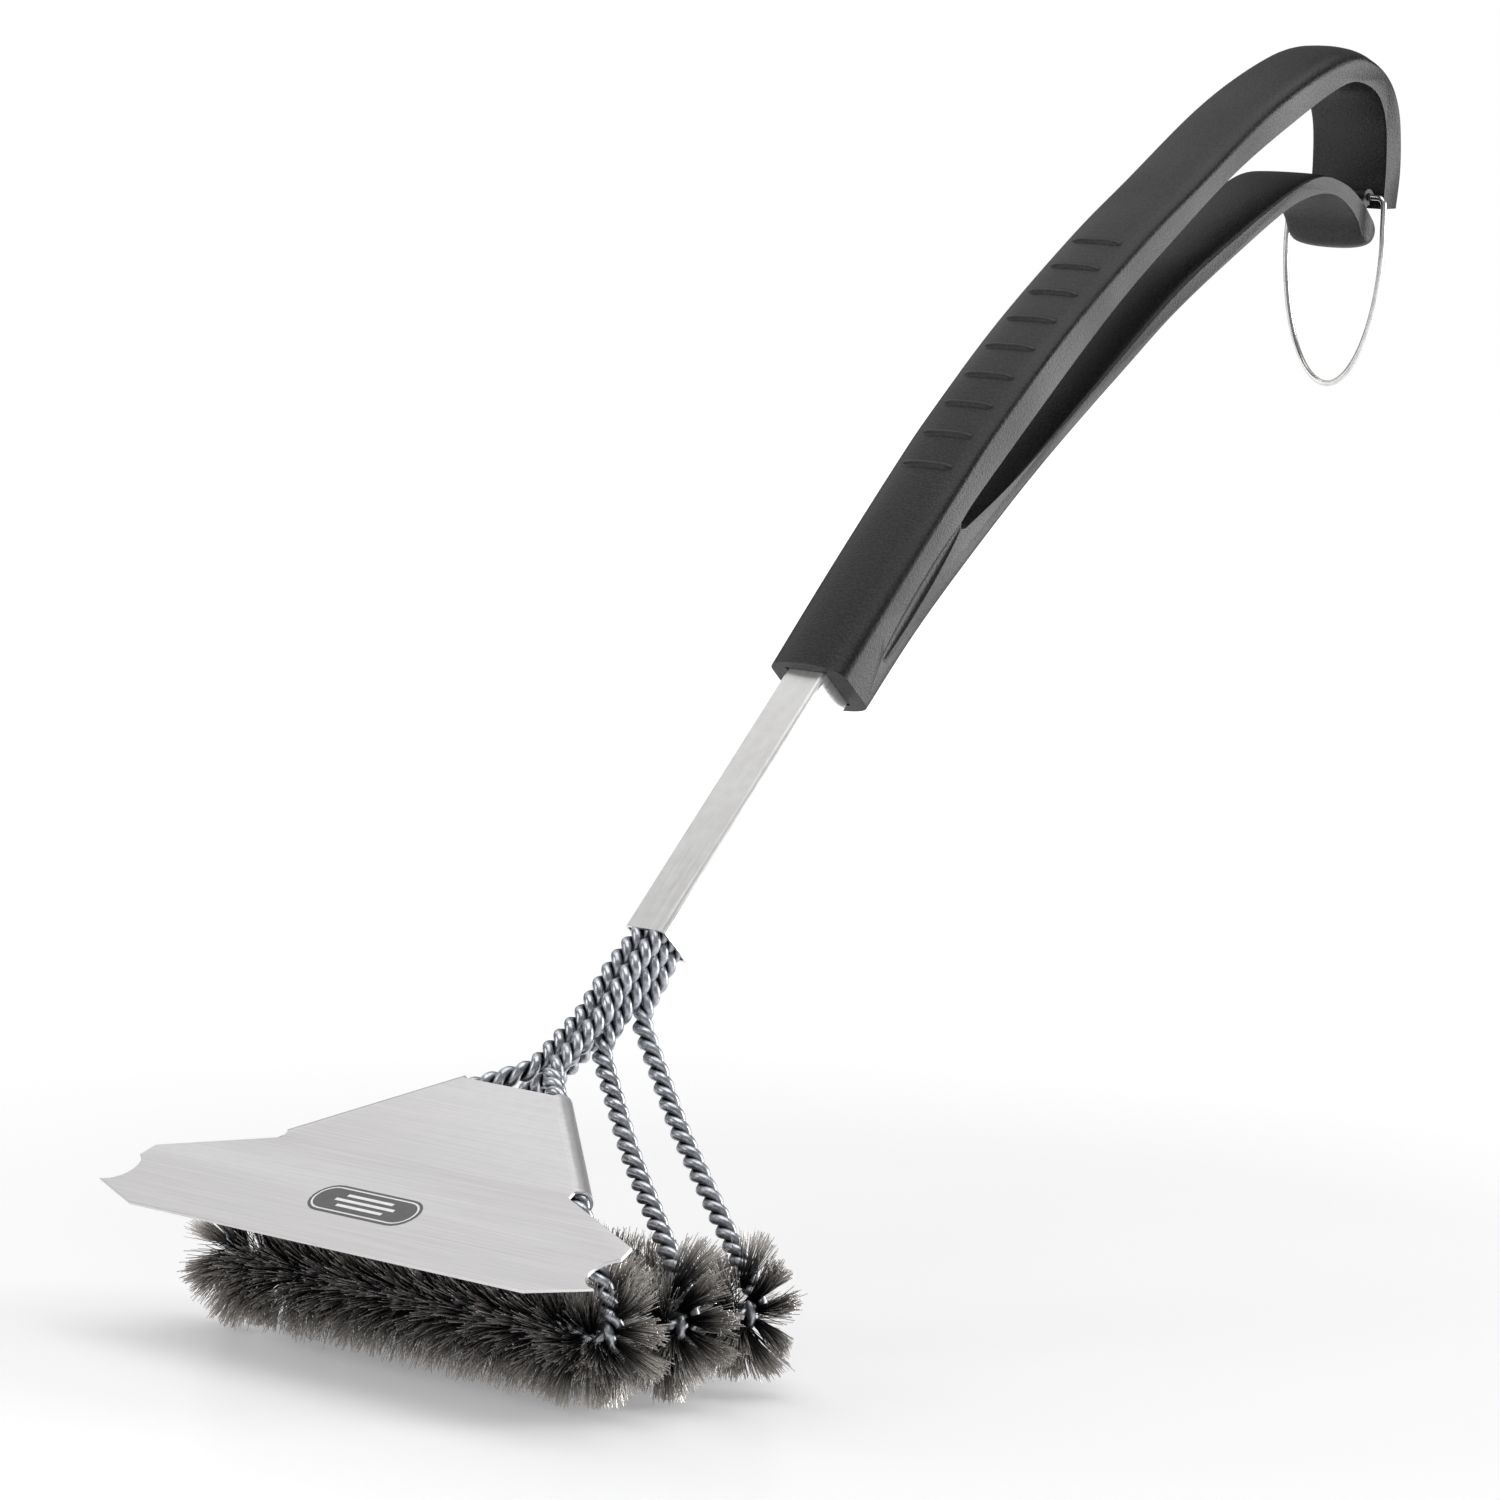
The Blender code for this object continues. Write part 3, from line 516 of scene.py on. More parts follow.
# two strands twisted round the path of the curve that they start from
def makeRopeTree():
    tree, start, end = newGroup(
        "twistedPair", "GeometryNodeTree",
        [("Geometry", "Geometry", None), ("Strand Radius", "Float", 0.00136),
         ("Offset", "Float", 0.0014), ("Pitch", "Float", 0.0098), ("Step", "Float", 0.0006),
         ("Sides", "Int", 12), ("Material", "Material", None)],
        [("Geometry", "Geometry")])
    resample = addNode(tree, "GeometryNodeResampleCurve", mode="LENGTH",
                       sockets={"Curve": start["Geometry"], "Length": start["Step"]})
    normal = addNode(tree, "GeometryNodeInputNormal").outputs[0]
    tangent = addNode(tree, "GeometryNodeInputTangent").outputs[0]
    parameter = addNode(tree, "GeometryNodeSplineParameter")
    joined = addNode(tree, "GeometryNodeJoinGeometry")
    side = vectorMath(tree, "CROSS_PRODUCT", tangent, normal)
    turns = mathNode(tree, "DIVIDE", parameter.outputs["Length"], start["Pitch"])
    for phase in (0.0, 0.5):
        angle = mathNode(tree, "MULTIPLY", mathNode(tree, "ADD", turns, phase), -2.0 * math.pi)
        outward = vectorMath(
            tree, "ADD", vectorMath(tree, "SCALE", normal, scale=mathNode(tree, "COSINE", angle)),
            vectorMath(tree, "SCALE", side, scale=mathNode(tree, "SINE", angle)))
        store = storeNamed(tree, resample.outputs[0], "outward", outward, "FLOAT_VECTOR")
        place = addNode(tree, "GeometryNodeSetPosition", {
            "Geometry": store,
            "Offset": vectorMath(tree, "SCALE", outward, scale=start["Offset"])})
        solid = sweep(tree, place.outputs[0], start["Strand Radius"], start["Sides"])
        surface = addNode(tree, "GeometryNodeInputNormal").outputs[0]
        facing = vectorMath(tree, "DOT_PRODUCT", surface, readNamed(tree, "outward"))
        groove = ranged(tree, facing, 0.0, 1.0, 0.35, -0.35)      # painted shade, full where it faces inwards
        link(tree, storeNamed(tree, solid, "grooveShade", groove), joined.inputs[0])
    return closeTree(tree, joined.outputs[0], start, end)


ropeTree = makeRopeTree()
rowNames = ("front", "middle", "rear")
for row, rowName in enumerate(rowNames):
    runTree(rowName + "TwistedLoop", curveObject(rowName + "LoopPath", [loopPath(row)]), ropeTree,
            {"Strand Radius": rope["strand"] * mm, "Offset": rope["offset"] * mm,
             "Pitch": rope["pitch"] * mm, "Step": rope["step"] * mm, "Sides": rope["sides"],
             "Material": coatedWire},
            (rowName + "_wire_loop",))
print("twisted loops made")


# filaments clamped between the strands: each starting point carries where one leaves the
# wire, its direction and length, and its bend
def makeBristleTree():
    tree, start, end = newGroup(
        "filaments", "GeometryNodeTree",
        [("Geometry", "Geometry", None), ("Thickness", "Float", 0.00016),
         ("Waviness", "Float", 0.0006), ("Material", "Material", None)],
        [("Geometry", "Geometry")])
    line = addNode(tree, "GeometryNodeCurvePrimitiveLine",
                   {"Start": (0.0, 0.0, 0.0), "End": (0.0, 0.0, 1.0)})
    cuts = addNode(tree, "GeometryNodeResampleCurve", {"Count": 5, "Curve": line.outputs[0]})
    spawn = addNode(tree, "GeometryNodeInstanceOnPoints",
                    {"Points": start["Geometry"], "Instance": cuts.outputs[0]})
    realize = addNode(tree, "GeometryNodeRealizeInstances", {0: spawn.outputs[0]})
    share = addNode(tree, "GeometryNodeSplineParameter").outputs["Factor"]
    straight = vectorMath(tree, "SCALE", readNamed(tree, "direction"), scale=share)
    curl = vectorMath(tree, "SCALE", readNamed(tree, "bend"),
                      scale=mathNode(tree, "POWER", share, 2.0))
    reached = vectorMath(tree, "ADD", readNamed(tree, "origin"), straight)
    noise = noiseNode(tree, reached, bristles["waveScale"], 1.0)
    wobble = vectorMath(tree, "SCALE",
                        vectorMath(tree, "SUBTRACT", noise.outputs["Color"], (0.5, 0.5, 0.5)),
                        scale=mathNode(tree, "MULTIPLY", share, start["Waviness"]))
    place = addNode(tree, "GeometryNodeSetPosition", {
        "Geometry": storeNamed(tree, realize.outputs[0], "filamentAlong", share),
        "Position": vectorMath(tree, "ADD", reached, vectorMath(tree, "ADD", curl, wobble))})
    return closeTree(tree, sweep(tree, place.outputs[0], start["Thickness"], 3), start, end)


bristles = {
    "radius": 18.5, "bandHalf": 56.5, "perBand": 4600, "perTuft": 1500, "clamp": 1.3,
    "bundleSpread": 0.40, "bundleTurn": 18.0, "lean": 0.17, "intermesh": 3.2,
    "thickness": 0.12, "waviness": 1.0, "waveScale": 260.0, "floor": -36.6, "toneStep": 4.5,
    "strays": 0.06, "bandBend": (0.9, 0.6, 0.35), "tuftBend": (1.2, 1.2, 0.8),
    "singleBend": (0.5, 0.5, 0.3), "tuftRoot": 0.8, "tuftReach": 90.0,
    "fans": [   # x of the root, rise of the root, aim (outwards, y, z), spread, share
        (58.5, 0.0, (-0.1, -0.35, -1.0), 0.21, 1.0), (59.0, 0.0, (0.0, 0.2, 1.0), 0.26, 0.8),
        (61.5, 0.0, (0.0, -1.0, -0.1), 0.24, 0.9), (62.0, 0.0, (0.1, 1.0, 0.1), 0.24, 0.8),
        (64.5, 0.0, (0.3, -0.2, -1.0), 0.19, 1.0), (65.0, 0.4, (0.1, -0.6, 0.8), 0.22, 0.7),
        (68.0, 0.4, (0.55, 0.1, -1.0), 0.19, 0.9), (68.5, 0.6, (0.5, -1.0, -0.5), 0.20, 0.8),
        (69.8, 2.2, (1.0, 0.15, -0.50), 0.10, 0.8), (70.4, 3.2, (1.0, 0.1, 0.20), 0.11, 0.9),
        (70.0, 5.0, (0.85, 0.1, 0.9), 0.14, 1.0), (67.0, 8.0, (0.1, 0.5, 1.0), 0.25, 0.6)],
}
bristleTree = makeBristleTree()


# shortens a filament that would reach too far into the next row
def rowLimit(row, direction, length):
    reach = loops["rowPitch"] / 2.0 + bristles["intermesh"]
    if direction.y > 0.0 and row < 2 or direction.y < 0.0 and row > 0:
        sideways = abs(direction.y) * length
        if sideways > reach:
            length *= reach / sideways
    return length


# one vertex for each filament, with its own origin, direction, bend and tone
def seedObject(name, seeds):
    mesh = bpy.data.meshes.new(name)
    mesh.vertices.add(len(seeds))
    for key in ("origin", "direction", "bend"):
        attribute = mesh.attributes.new(key, "FLOAT_VECTOR", "POINT")
        attribute.data.foreach_set("vector", [c for seed in seeds for c in seed[key]])
    attribute = mesh.attributes.new("filamentTone", "FLOAT", "POINT")
    attribute.data.foreach_set("value", [seed["tone"] for seed in seeds])
    return newObject(name, mesh)


def filament(row, origin, direction, length, bend, tone):
    length = rowLimit(row, direction, length)
    if origin.z + direction.z * length < bristles["floor"]:
        length = (bristles["floor"] - origin.z) / direction.z
    return {"origin": toWorld(origin), "direction": direction * length * mm,
            "bend": bend * mm, "tone": min(1.0, tone)}


def scattered(rng, spreads):
    return Vector([rng.gauss(0.0, spread) for spread in spreads])


# a double helix of bundles round the row
def bandSeeds(row, rng):
    seeds = []
    half = bristles["bandHalf"]
    tones = [rng.random() ** 2 * 0.35 for _ in range(64)]          # the second 30 lie behind
    for _ in range(bristles["perBand"]):
        x = rng.uniform(-half, half)
        helix = -2.0 * math.pi * x / bristles["bundleTurn"] + rng.choice((0.0, math.pi))
        angle = helix + rng.gauss(0.0, bristles["bundleSpread"])
        out = Vector((rng.gauss(0.0, bristles["lean"]), math.cos(angle), math.sin(angle)))
        out.normalize()
        length = bristles["radius"] * rng.uniform(0.84, 1.0)
        if rng.random() < bristles["strays"]:
            length *= rng.uniform(0.7, 0.95)
        origin = rowPoint(row, x) + out * bristles["clamp"]
        bend = scattered(rng, bristles["bandBend"])
        tone = tones[int((x + half) / bristles["toneStep"]) + 30 * (out.y > 0.0)]
        seeds.append(filament(row, origin, out, length - bristles["clamp"], bend,
                              tone + rng.random() ** 4 * 0.9))
    return seeds


# fans at the corner: along the last of the row, and round the bend of the wire
def tuftSeeds(row, sign, rng):
    seeds = []
    total = sum(fan[4] for fan in bristles["fans"])
    for rootX, rise, aim, spread, share in bristles["fans"]:
        aim = Vector((aim[0] * sign, aim[1], aim[2])).normalized()
        root = rowPoint(row, rootX * sign) + Vector((0.0, 0.0, rise))
        sideways = aim.orthogonal().normalized()
        upright = aim.cross(sideways)
        tone = rng.random() ** 2 * 0.5
        bend = scattered(rng, bristles["tuftBend"])
        for _ in range(int(bristles["perTuft"] * share / total)):
            out = aim + sideways * rng.gauss(0.0, spread) + upright * rng.gauss(0.0, spread)
            out.normalize()
            length = bristles["radius"] * rng.uniform(0.84, 0.98) - bristles["clamp"]
            start = root + out * bristles["tuftRoot"]
            start.x += rng.gauss(0.0, bristles["tuftRoot"])
            if abs(start.x + out.x * length) > bristles["tuftReach"]:
                length = (bristles["tuftReach"] - abs(start.x)) / abs(out.x)
            wild = scattered(rng, bristles["singleBend"])
            seeds.append(filament(row, start, out, length, bend + wild,
                                  tone + rng.random() ** 2 * 0.8))
    return seeds


def growBristles(name, seeds, replaced):
    runTree(name, seedObject(name + "Seeds", seeds), bristleTree,
            {"Thickness": bristles["thickness"] * mm, "Waviness": bristles["waviness"] * mm,
             "Material": filamentSteel},
            (replaced,))


for row, rowName in enumerate(rowNames):
    rng = random.Random(40 + row)
    growBristles(rowName + "Bristles", bandSeeds(row, rng), rowName + "_bristle_band")
    for side, sign in (("Left", -1.0), ("Right", 1.0)):
        growBristles(rowName + side + "Tuft", tuftSeeds(row, sign, rng),
                     rowName + "_tuft_" + side.lower())
print("bristles grown")


# done while still in millimetres: very small meshes turn inside out otherwise
def faceOutwards(bm):
    bmesh.ops.recalc_face_normals(bm, faces=bm.faces)
    if bm.calc_volume(signed=True) < 0.0:
        bmesh.ops.reverse_faces(bm, faces=bm.faces)
    for vert in bm.verts:
        vert.co = toWorld(vert.co)


def looseObject(name, bm):
    faceOutwards(bm)
    mesh = bpy.data.meshes.new(name)
    bm.to_mesh(mesh)
    bm.free()
    return newObject(name, mesh)


def shadeAndCoat(mesh, material, sharp):
    mesh.shade_smooth()
    mesh.set_sharp_from_angle(angle=math.radians(sharp))
    mesh.materials.clear()
    mesh.materials.append(material)


def roundEdges(piece, width, segments, angle):
    edge = piece.modifiers.new("edges", "BEVEL")
    edge.width = width * mm
    edge.segments = segments
    edge.limit_method = "ANGLE"
    edge.angle_limit = math.radians(angle)
    return edge


# places a working-layout mesh in the world and finishes it
def meshPiece(name, bm, material, body, replaced=(), sharp=35.0, bevel=0.0):
    bmesh.ops.remove_doubles(bm, verts=bm.verts, dist=1e-4)
    piece = looseObject(name, bm)
    shadeAndCoat(piece.data, material, sharp)
    if bevel:
        roundEdges(piece, bevel, 2, 40.0).harden_normals = True
    finishPiece(piece, body, replaced)


def wingOutline(steps=18):
    half = sheet["half"]
    centreX = half + sheet["notchOffset"]
    rise, radius = sheet["notchRise"], sheet["notchRadius"]
    outline = [(half - sheet["edgeInset"], 0.0), (half, sheet["clawRise"])]
    start = math.atan2(sheet["clawRise"] - rise, half - centreX)
    for step in range(1, steps + 1):
        angle = start - math.radians(sheet["notchSweep"]) * step / steps
        outline.append((centreX + radius * math.cos(angle), rise + radius * math.sin(angle)))
    outline.append((half - sheet["cornerInset"], sheet["cornerRise"]))
    outline.append((sheet["wingRoot"], sheet["crease"]))
    return outline


# a sheet is given its thickness below its faces
def thicken(bm, thickness):
    bmesh.ops.recalc_face_normals(bm, faces=bm.faces)
    if max(bm.faces, key=lambda f: f.calc_area()).normal.z < 0.0:
        bmesh.ops.reverse_faces(bm, faces=bm.faces)
    bmesh.ops.solidify(bm, geom=bm.faces[:], thickness=thickness)


def buildPlate():
    wing = wingOutline()
    bm = bmesh.new()
    right = [bm.verts.new(platePoint(x, d)) for x, d in wing]
    left = [bm.verts.new(platePoint(-x, d)) for x, d in reversed(wing)]
    bm.faces.new(right + left)
    corners = [sheet["sleeveFoot"], sheet["sleeveTop"]]
    corners += [(-x, d) for x, d in reversed(corners)]
    bm.faces.new([right[-1]] + [bm.verts.new(platePoint(x, d)) for x, d in corners] + [left[0]])
    thicken(bm, sheet["thickness"])
    meshPiece("scraperSheet", bm, plateSteel, "brush", ("scraper_plate",),
              bevel=sheet["edge"])
    for sign, side in ((1.0, "Right"), (-1.0, "Left")):
        buildSleeve("rolledSleeve" + side, sign)


# the sheet's edge rolled down and round the wire, with a slit left open inside
def buildSleeve(name, sign, steps=26):
    top, foot = sleeveEnds(sign)
    along = (foot - top).normalized()
    outwards = upperNormal.cross(along) * sign
    outer = sheet["sleeveRadius"]
    inner = outer - sheet["sleeveWall"]
    bm = bmesh.new()
    profile = []
    for radius, order in ((outer, range(steps + 1)), (inner, range(steps, -1, -1))):
        for step in order:
            angle = math.radians(sheet["sleeveStart"] - sheet["sleeveSweep"] * step / steps)
            profile.append(outwards * math.cos(angle) * radius
                           + upperNormal * math.sin(angle) * radius)
    rings = []
    for end in (top, foot):
        rings.append([bm.verts.new(end + offset) for offset in profile])
    count = len(profile)
    for index in range(count):
        following = (index + 1) % count
        bm.faces.new((rings[0][index], rings[0][following], rings[1][following],
                      rings[1][index]))
    for ring in rings:
        for step in range(steps):
            bm.faces.new((ring[step], ring[step + 1], ring[count - 2 - step],
                          ring[count - 1 - step]))
    meshPiece(name, bm, plateSteel, "brush", bevel=sheet["sleeveEdge"],
              sharp=30.0)


# outline with round ends
def lozenge(half, height, steps=10):
    outline = []
    radius = height / 2.0
    for centre, start in ((half - radius, -90.0), (-(half - radius), 90.0)):
        for step in range(steps + 1):
            angle = math.radians(start + 180.0 * step / steps)
            outline.append((centre + radius * math.cos(angle), radius * math.sin(angle)))
    return outline


badge = {
    "centre": (-1.7, 19.7), "half": 19.5, "height": 12.5, "sink": -0.2,
    "layers": (("badgeField", 0.0, 0.25, badgeEtch),          # name, inset, thickness, finish
               ("badgeRim", 0.9, 0.29, plateSteel), ("badgeInner", 1.5, 0.33, badgeEtch)),
    "bars": (8.5, 11.0, 8.5), "barHalf": 0.55, "barSpacing": 2.4, "barThickness": 0.37,
}


def inlay(name, outline, lift, thick, material):
    bm = bmesh.new()
    centreX, centreY = badge["centre"]
    base = [bm.verts.new(platePoint(centreX + x, centreY + lift + y)
                         + lowerNormal * badge["sink"]) for x, y in outline]
    face = bm.faces.new(base)
    raised = bmesh.ops.extrude_face_region(bm, geom=[face])
    top = [item for item in raised["geom"] if isinstance(item, bmesh.types.BMVert)]
    bmesh.ops.translate(bm, verts=top, vec=lowerNormal * thick)
    meshPiece(name, bm, material, "brush", sharp=30.0)


buildPlate()
for name, inset, thick, material in badge["layers"]:
    inlay(name, lozenge(badge["half"] - inset, badge["height"] - 2.0 * inset), 0.0, thick,
          material)
for index, length in enumerate(badge["bars"]):
    half = badge["barHalf"]
    inlay("badgeBar" + str(index + 1),
          [(-length, -half), (length, -half), (length, half), (-length, half)],
          (index - 1) * badge["barSpacing"], badge["barThickness"], plateSteel)
print("plate made")


handle = {
    "half": 14.0, "power": 2.4, "smooth": 6, "fineSmooth": 12, "edge": 0.7, "crown": 0.965,
    "slices": 9, "socketDepth": 47.1, "socket": (14.596 + 0.6, 14.204 + 0.6),   # tube and its gap
}
barrel = {"centre": (256.8, -74.3), "bore": 1.25, "outside": 2.45, "webHalf": 1.5,
          "slotHalf": 32.0, "webReach": 6.0, "half": 12.0}
groove = {"low": (0.0, 195.0, 148.5), "high": (0.0, 226.5, 186.5), "halfWidth": 2.2,
          "out": 14.2, "depth": 1.1}


def smoothCurve(points, steps):
    curve = []
    last = len(points) - 1
    for index in range(last):
        p0, p1 = Vector(points[max(index - 1, 0)]), Vector(points[index])
        p2, p3 = Vector(points[index + 1]), Vector(points[min(index + 2, last)])
        for step in range(steps):
            t = step / steps
            curve.append(0.5 * (2.0 * p1 + (p2 - p0) * t
                                + (2.0 * p0 - 5.0 * p1 + 4.0 * p2 - p3) * t ** 2
                                + (3.0 * p1 - p0 - 3.0 * p2 + p3) * t ** 3))
    curve.append(Vector(points[last]))
    return curve


# side outline, in runs: along the tube's line, out of the back, crown in the middle
back = [(0, 4.6, 6.0), (35, 5.9, 4.8), (72, 6.4, 4.0), (94, 5.9, 3.8), (132, 2.7, 3.8),
        (173, -4.2, 4.0), (201, -10.8, 4.2), (237, -19.4, 4.4), (262, -29.0, 5.0),
        (278, -38.0, 5.0), (284.2, -46.0, 2.8), (286, -54.5, 1.4), (284, -62.6, 1.0),
        (279, -70, 1.0), (271, -78.2, 1.2), (262, -84.8, 1.2)]
inner = [(257.4, -80.2, 0.2), (267.6, -71.6, 0.4), (276.4, -61.8, 0.4), (279.2, -52.5, 0.4),
         (275.2, -43.2, 0.4), (267.5, -37.6, 0.4), (251.6, -31.2, 0.4), (218.5, -20.2, 0.4),
         (185.8, -13.0, 0.4), (145, -6.2, 0.4), (78.5, -0.6, 0.1), (62.5, -0.2, 0.0)]
crotch = [(62.5, -0.2, 0.0), (61.2, -1.4, 0.0), (62.5, -2.8, 0.0)]
lowerTop = [(62.5, -2.8, 0.0), (88.7, -9.8, 0.6), (130, -17.6, 1.6), (173, -25.4, 2.2),
            (203, -34.2, 2.0), (231, -44.0, 1.4), (243.5, -51.0, 0.9), (249.6, -60.5, 0.5),
            (251.6, -68.0, 0.3), (252.0, -73.6, 0.2), (251.6, -79.4, 1.0)]
nose = [(251.6, -79.4, 1.0), (250.2, -81.6, 2.8), (247.8, -82.4, 3.6), (245.4, -81.0, 2.8),
        (244.8, -78.4, 1.0)]
under = [(244.8, -78.4, 1.0), (246.6, -73, 0.4), (246.4, -66.5, 0.4), (244.4, -60.2, 0.4),
         (239.8, -54.4, 0.4), (232.2, -49.0, 0.4), (222.5, -44.6, 0.4), (200, -37.4, 0.5),
         (170, -28.8, 0.5), (142.5, -23.2, 0.6), (90, -13.8, 1.2), (35, -7.4, 3.2),
         (0, -6.2, 4.4)]


def outlinePairs():
    pairs = []
    for run in (back, inner, crotch, lowerTop, nose, under):
        curve = smoothCurve(run, handle["smooth"])
        points = [Vector((sample.x, sample.y)) for sample in curve]
        made = []
        for index, point in enumerate(points):
            ahead = points[min(index + 1, len(points) - 1)]
            behind = points[max(index - 1, 0)]
            direction = (ahead - behind).normalized()
            made.append((point, Vector((-direction.y, direction.x)) * curve[index].z))
        if pairs and (pairs[-1][0] - made[0][0]).length < 1e-6:
            made = made[1:]
        pairs += made
    return pairs


# closed body across X from matching side outlines
def acrossMesh(outlines):
    bm = bmesh.new()
    columns = []
    for x, outline in outlines:
        columns.append([bm.verts.new(onHandle(p.x, p.y, x)) for p in outline])
    count = len(columns[0])
    for first, second in zip(columns, columns[1:]):
        for index in range(count):
            following = (index + 1) % count
            bm.faces.new((first[index], first[following], second[following], second[index]))
    bm.faces.new(columns[0])
    bm.faces.new(columns[-1])
    return bm


# the C-shaped barrel, open below, with the web that joins it to the lower limb
def barrelOutline(steps=20):
    centre = Vector(barrel["centre"])
    bore, outside, webHalf = barrel["bore"], barrel["outside"], barrel["webHalf"]
    web = math.asin(webHalf / outside)
    halfSlot = math.radians(barrel["slotHalf"])
    slotRight, slotLeft = -math.pi / 2.0 + halfSlot, -math.pi / 2.0 - halfSlot

    def arc(radius, start, end):
        return [centre + Vector((math.cos(a), math.sin(a))) * radius
                for a in (start + (end - start) * step / steps for step in range(steps + 1))]

    outline = [centre + Vector((-barrel["webReach"], webHalf))]
    outline += arc(outside, math.pi - web, slotRight)
    outline += arc(bore, slotRight, 2.0 * math.pi + slotLeft)
    outline += arc(outside, slotLeft, -math.pi + web)[::4]
    return outline + [centre + Vector((-barrel["webReach"], -webHalf))]


# long shallow scoop in the handle's side face, as a stretched ball
def grooveTool(sign, rings=24, sides=14):
    low, high = Vector(groove["low"]), Vector(groove["high"])
    middle, reach = (low + high) / 2.0, (high - low) / 2.0
    length = reach.length
    along = reach.normalized()
    sideways = Vector((0.0, -along.z, along.y))
    bm = bmesh.new()
    bmesh.ops.create_uvsphere(bm, u_segments=sides, v_segments=rings, radius=1.0)
    for vert in bm.verts:
        x, y, z = vert.co
        vert.co = (middle + along * z * length + sideways * y * groove["halfWidth"]
                   + Vector((sign * groove["out"] + x * groove["depth"], 0.0, 0.0)))
    return looseObject("grooveTool", bm)


# the tube's socket, open at the handle's lower end
def socketOutlines():
    width, height = handle["socket"]
    low, high = -20.0, handle["socketDepth"]
    outline = [Vector((low, -height / 2.0)), Vector((high, -height / 2.0)),
               Vector((high, height / 2.0)), Vector((low, height / 2.0))]
    return [(-width / 2.0, outline), (width / 2.0, outline)]


def buildHandle():
    pairs = outlinePairs()
    slices = handle["slices"]
    power = handle["power"]
    outlines = []
    for step in range(-slices, slices + 1):
        share = math.sin(math.pi / 2.0 * step / slices)
        crown = max(0.0, 1.0 - abs(share) ** power) ** (1.0 / power) * handle["crown"]
        outlines.append((share * handle["half"], [p + shift * crown for p, shift in pairs]))
    body = looseObject("handleBody", acrossMesh(outlines))
    barrelTool = looseObject("barrelTool", acrossMesh(
        [(x, barrelOutline()) for x in (-barrel["half"], barrel["half"])]))
    tools = [("UNION", barrelTool),
             ("DIFFERENCE", looseObject("socketTool", acrossMesh(socketOutlines())))]
    tools += [("DIFFERENCE", grooveTool(sign)) for sign in (-1.0, 1.0)]
    for operation, tool in tools:
        cut = body.modifiers.new(operation.lower(), "BOOLEAN")
        cut.operation = operation
        cut.object = tool
        cut.solver = "EXACT"
    mesh = evaluatedMesh(body)
    for thing in [body] + [tool for operation, tool in tools]:
        bpy.data.objects.remove(thing)
    shadeAndCoat(mesh, blackNylon, 38.0)
    piece = newObject("splitHandle", mesh)
    roundEdges(piece, handle["edge"], 3, 42.0)
    finishPiece(piece, "brush", ("handle",))


buildHandle()
print("handle made")


# a place on the crowned back of the handle
def backPoint(along, x, lift):
    curve = smoothCurve(back, handle["fineSmooth"])
    index = max(i for i in range(len(curve) - 1) if curve[i].x <= along)
    before, ahead = curve[index], curve[index + 1]
    here = before.lerp(ahead, (along - before.x) / (ahead.x - before.x))
    direction = Vector((ahead.x - before.x, ahead.y - before.y)).normalized()
    normal = Vector((-direction.y, direction.x))
    crown = (1.0 - abs(x / handle["half"]) ** handle["power"]) ** (1.0 / handle["power"])
    spot = Vector((here.x, here.y)) + normal * (here.z * crown + lift)
    return onHandle(spot.x, spot.y, x)


ribs = {"first": 74.0, "count": 9, "spacing": 11.8, "half": 9.6, "radius": 1.5, "sink": -0.75,
        "sides": 12, "steps": 24, "endShape": 8.0, "endSize": 0.002}


# grip bars: every rib's spline becomes a round-ended bar
def makeRibTree():
    tree, start, end = newGroup(
        "gripRibs", "GeometryNodeTree",
        [("Geometry", "Geometry", None), ("Radius", "Float", 0.0012), ("Sides", "Int", 12),
         ("Material", "Material", None)],
        [("Geometry", "Geometry")])
    share = addNode(tree, "GeometryNodeSplineParameter").outputs["Factor"]
    fromMiddle = mathNode(tree, "ABSOLUTE", mathNode(tree, "MULTIPLY_ADD", share, 2.0, -1.0))
    left = mathNode(tree, "SUBTRACT", 1.0,
                    mathNode(tree, "POWER", fromMiddle, ribs["endShape"]))
    taper = mathNode(tree, "SQRT", mathNode(tree, "MAXIMUM", ribs["endSize"], left))
    size = addNode(tree, "GeometryNodeSetCurveRadius",
                   {"Curve": start["Geometry"], "Radius": taper})
    bars = sweep(tree, size.outputs[0], start["Radius"], start["Sides"], Scale=taper)
    return closeTree(tree, bars, start, end)


def buildRibs():
    lines = []
    for index in range(ribs["count"]):
        along = ribs["first"] + index * ribs["spacing"]
        lines.append([backPoint(along, ribs["half"] * (step * 2.0 / ribs["steps"] - 1.0),
                                ribs["sink"]) for step in range(ribs["steps"] + 1)])
    runTree("gripRibs", curveObject("ribPaths", lines), makeRibTree(),
            {"Radius": ribs["radius"] * mm, "Sides": ribs["sides"], "Material": blackNylon})


buildRibs()
print("grip ribs made")


ring = {"half": 18.2, "drop": 57.2, "shoulder": 14.0, "corner": 2.5, "splay": 0.4,
        "wire": 0.9, "sides": 16}


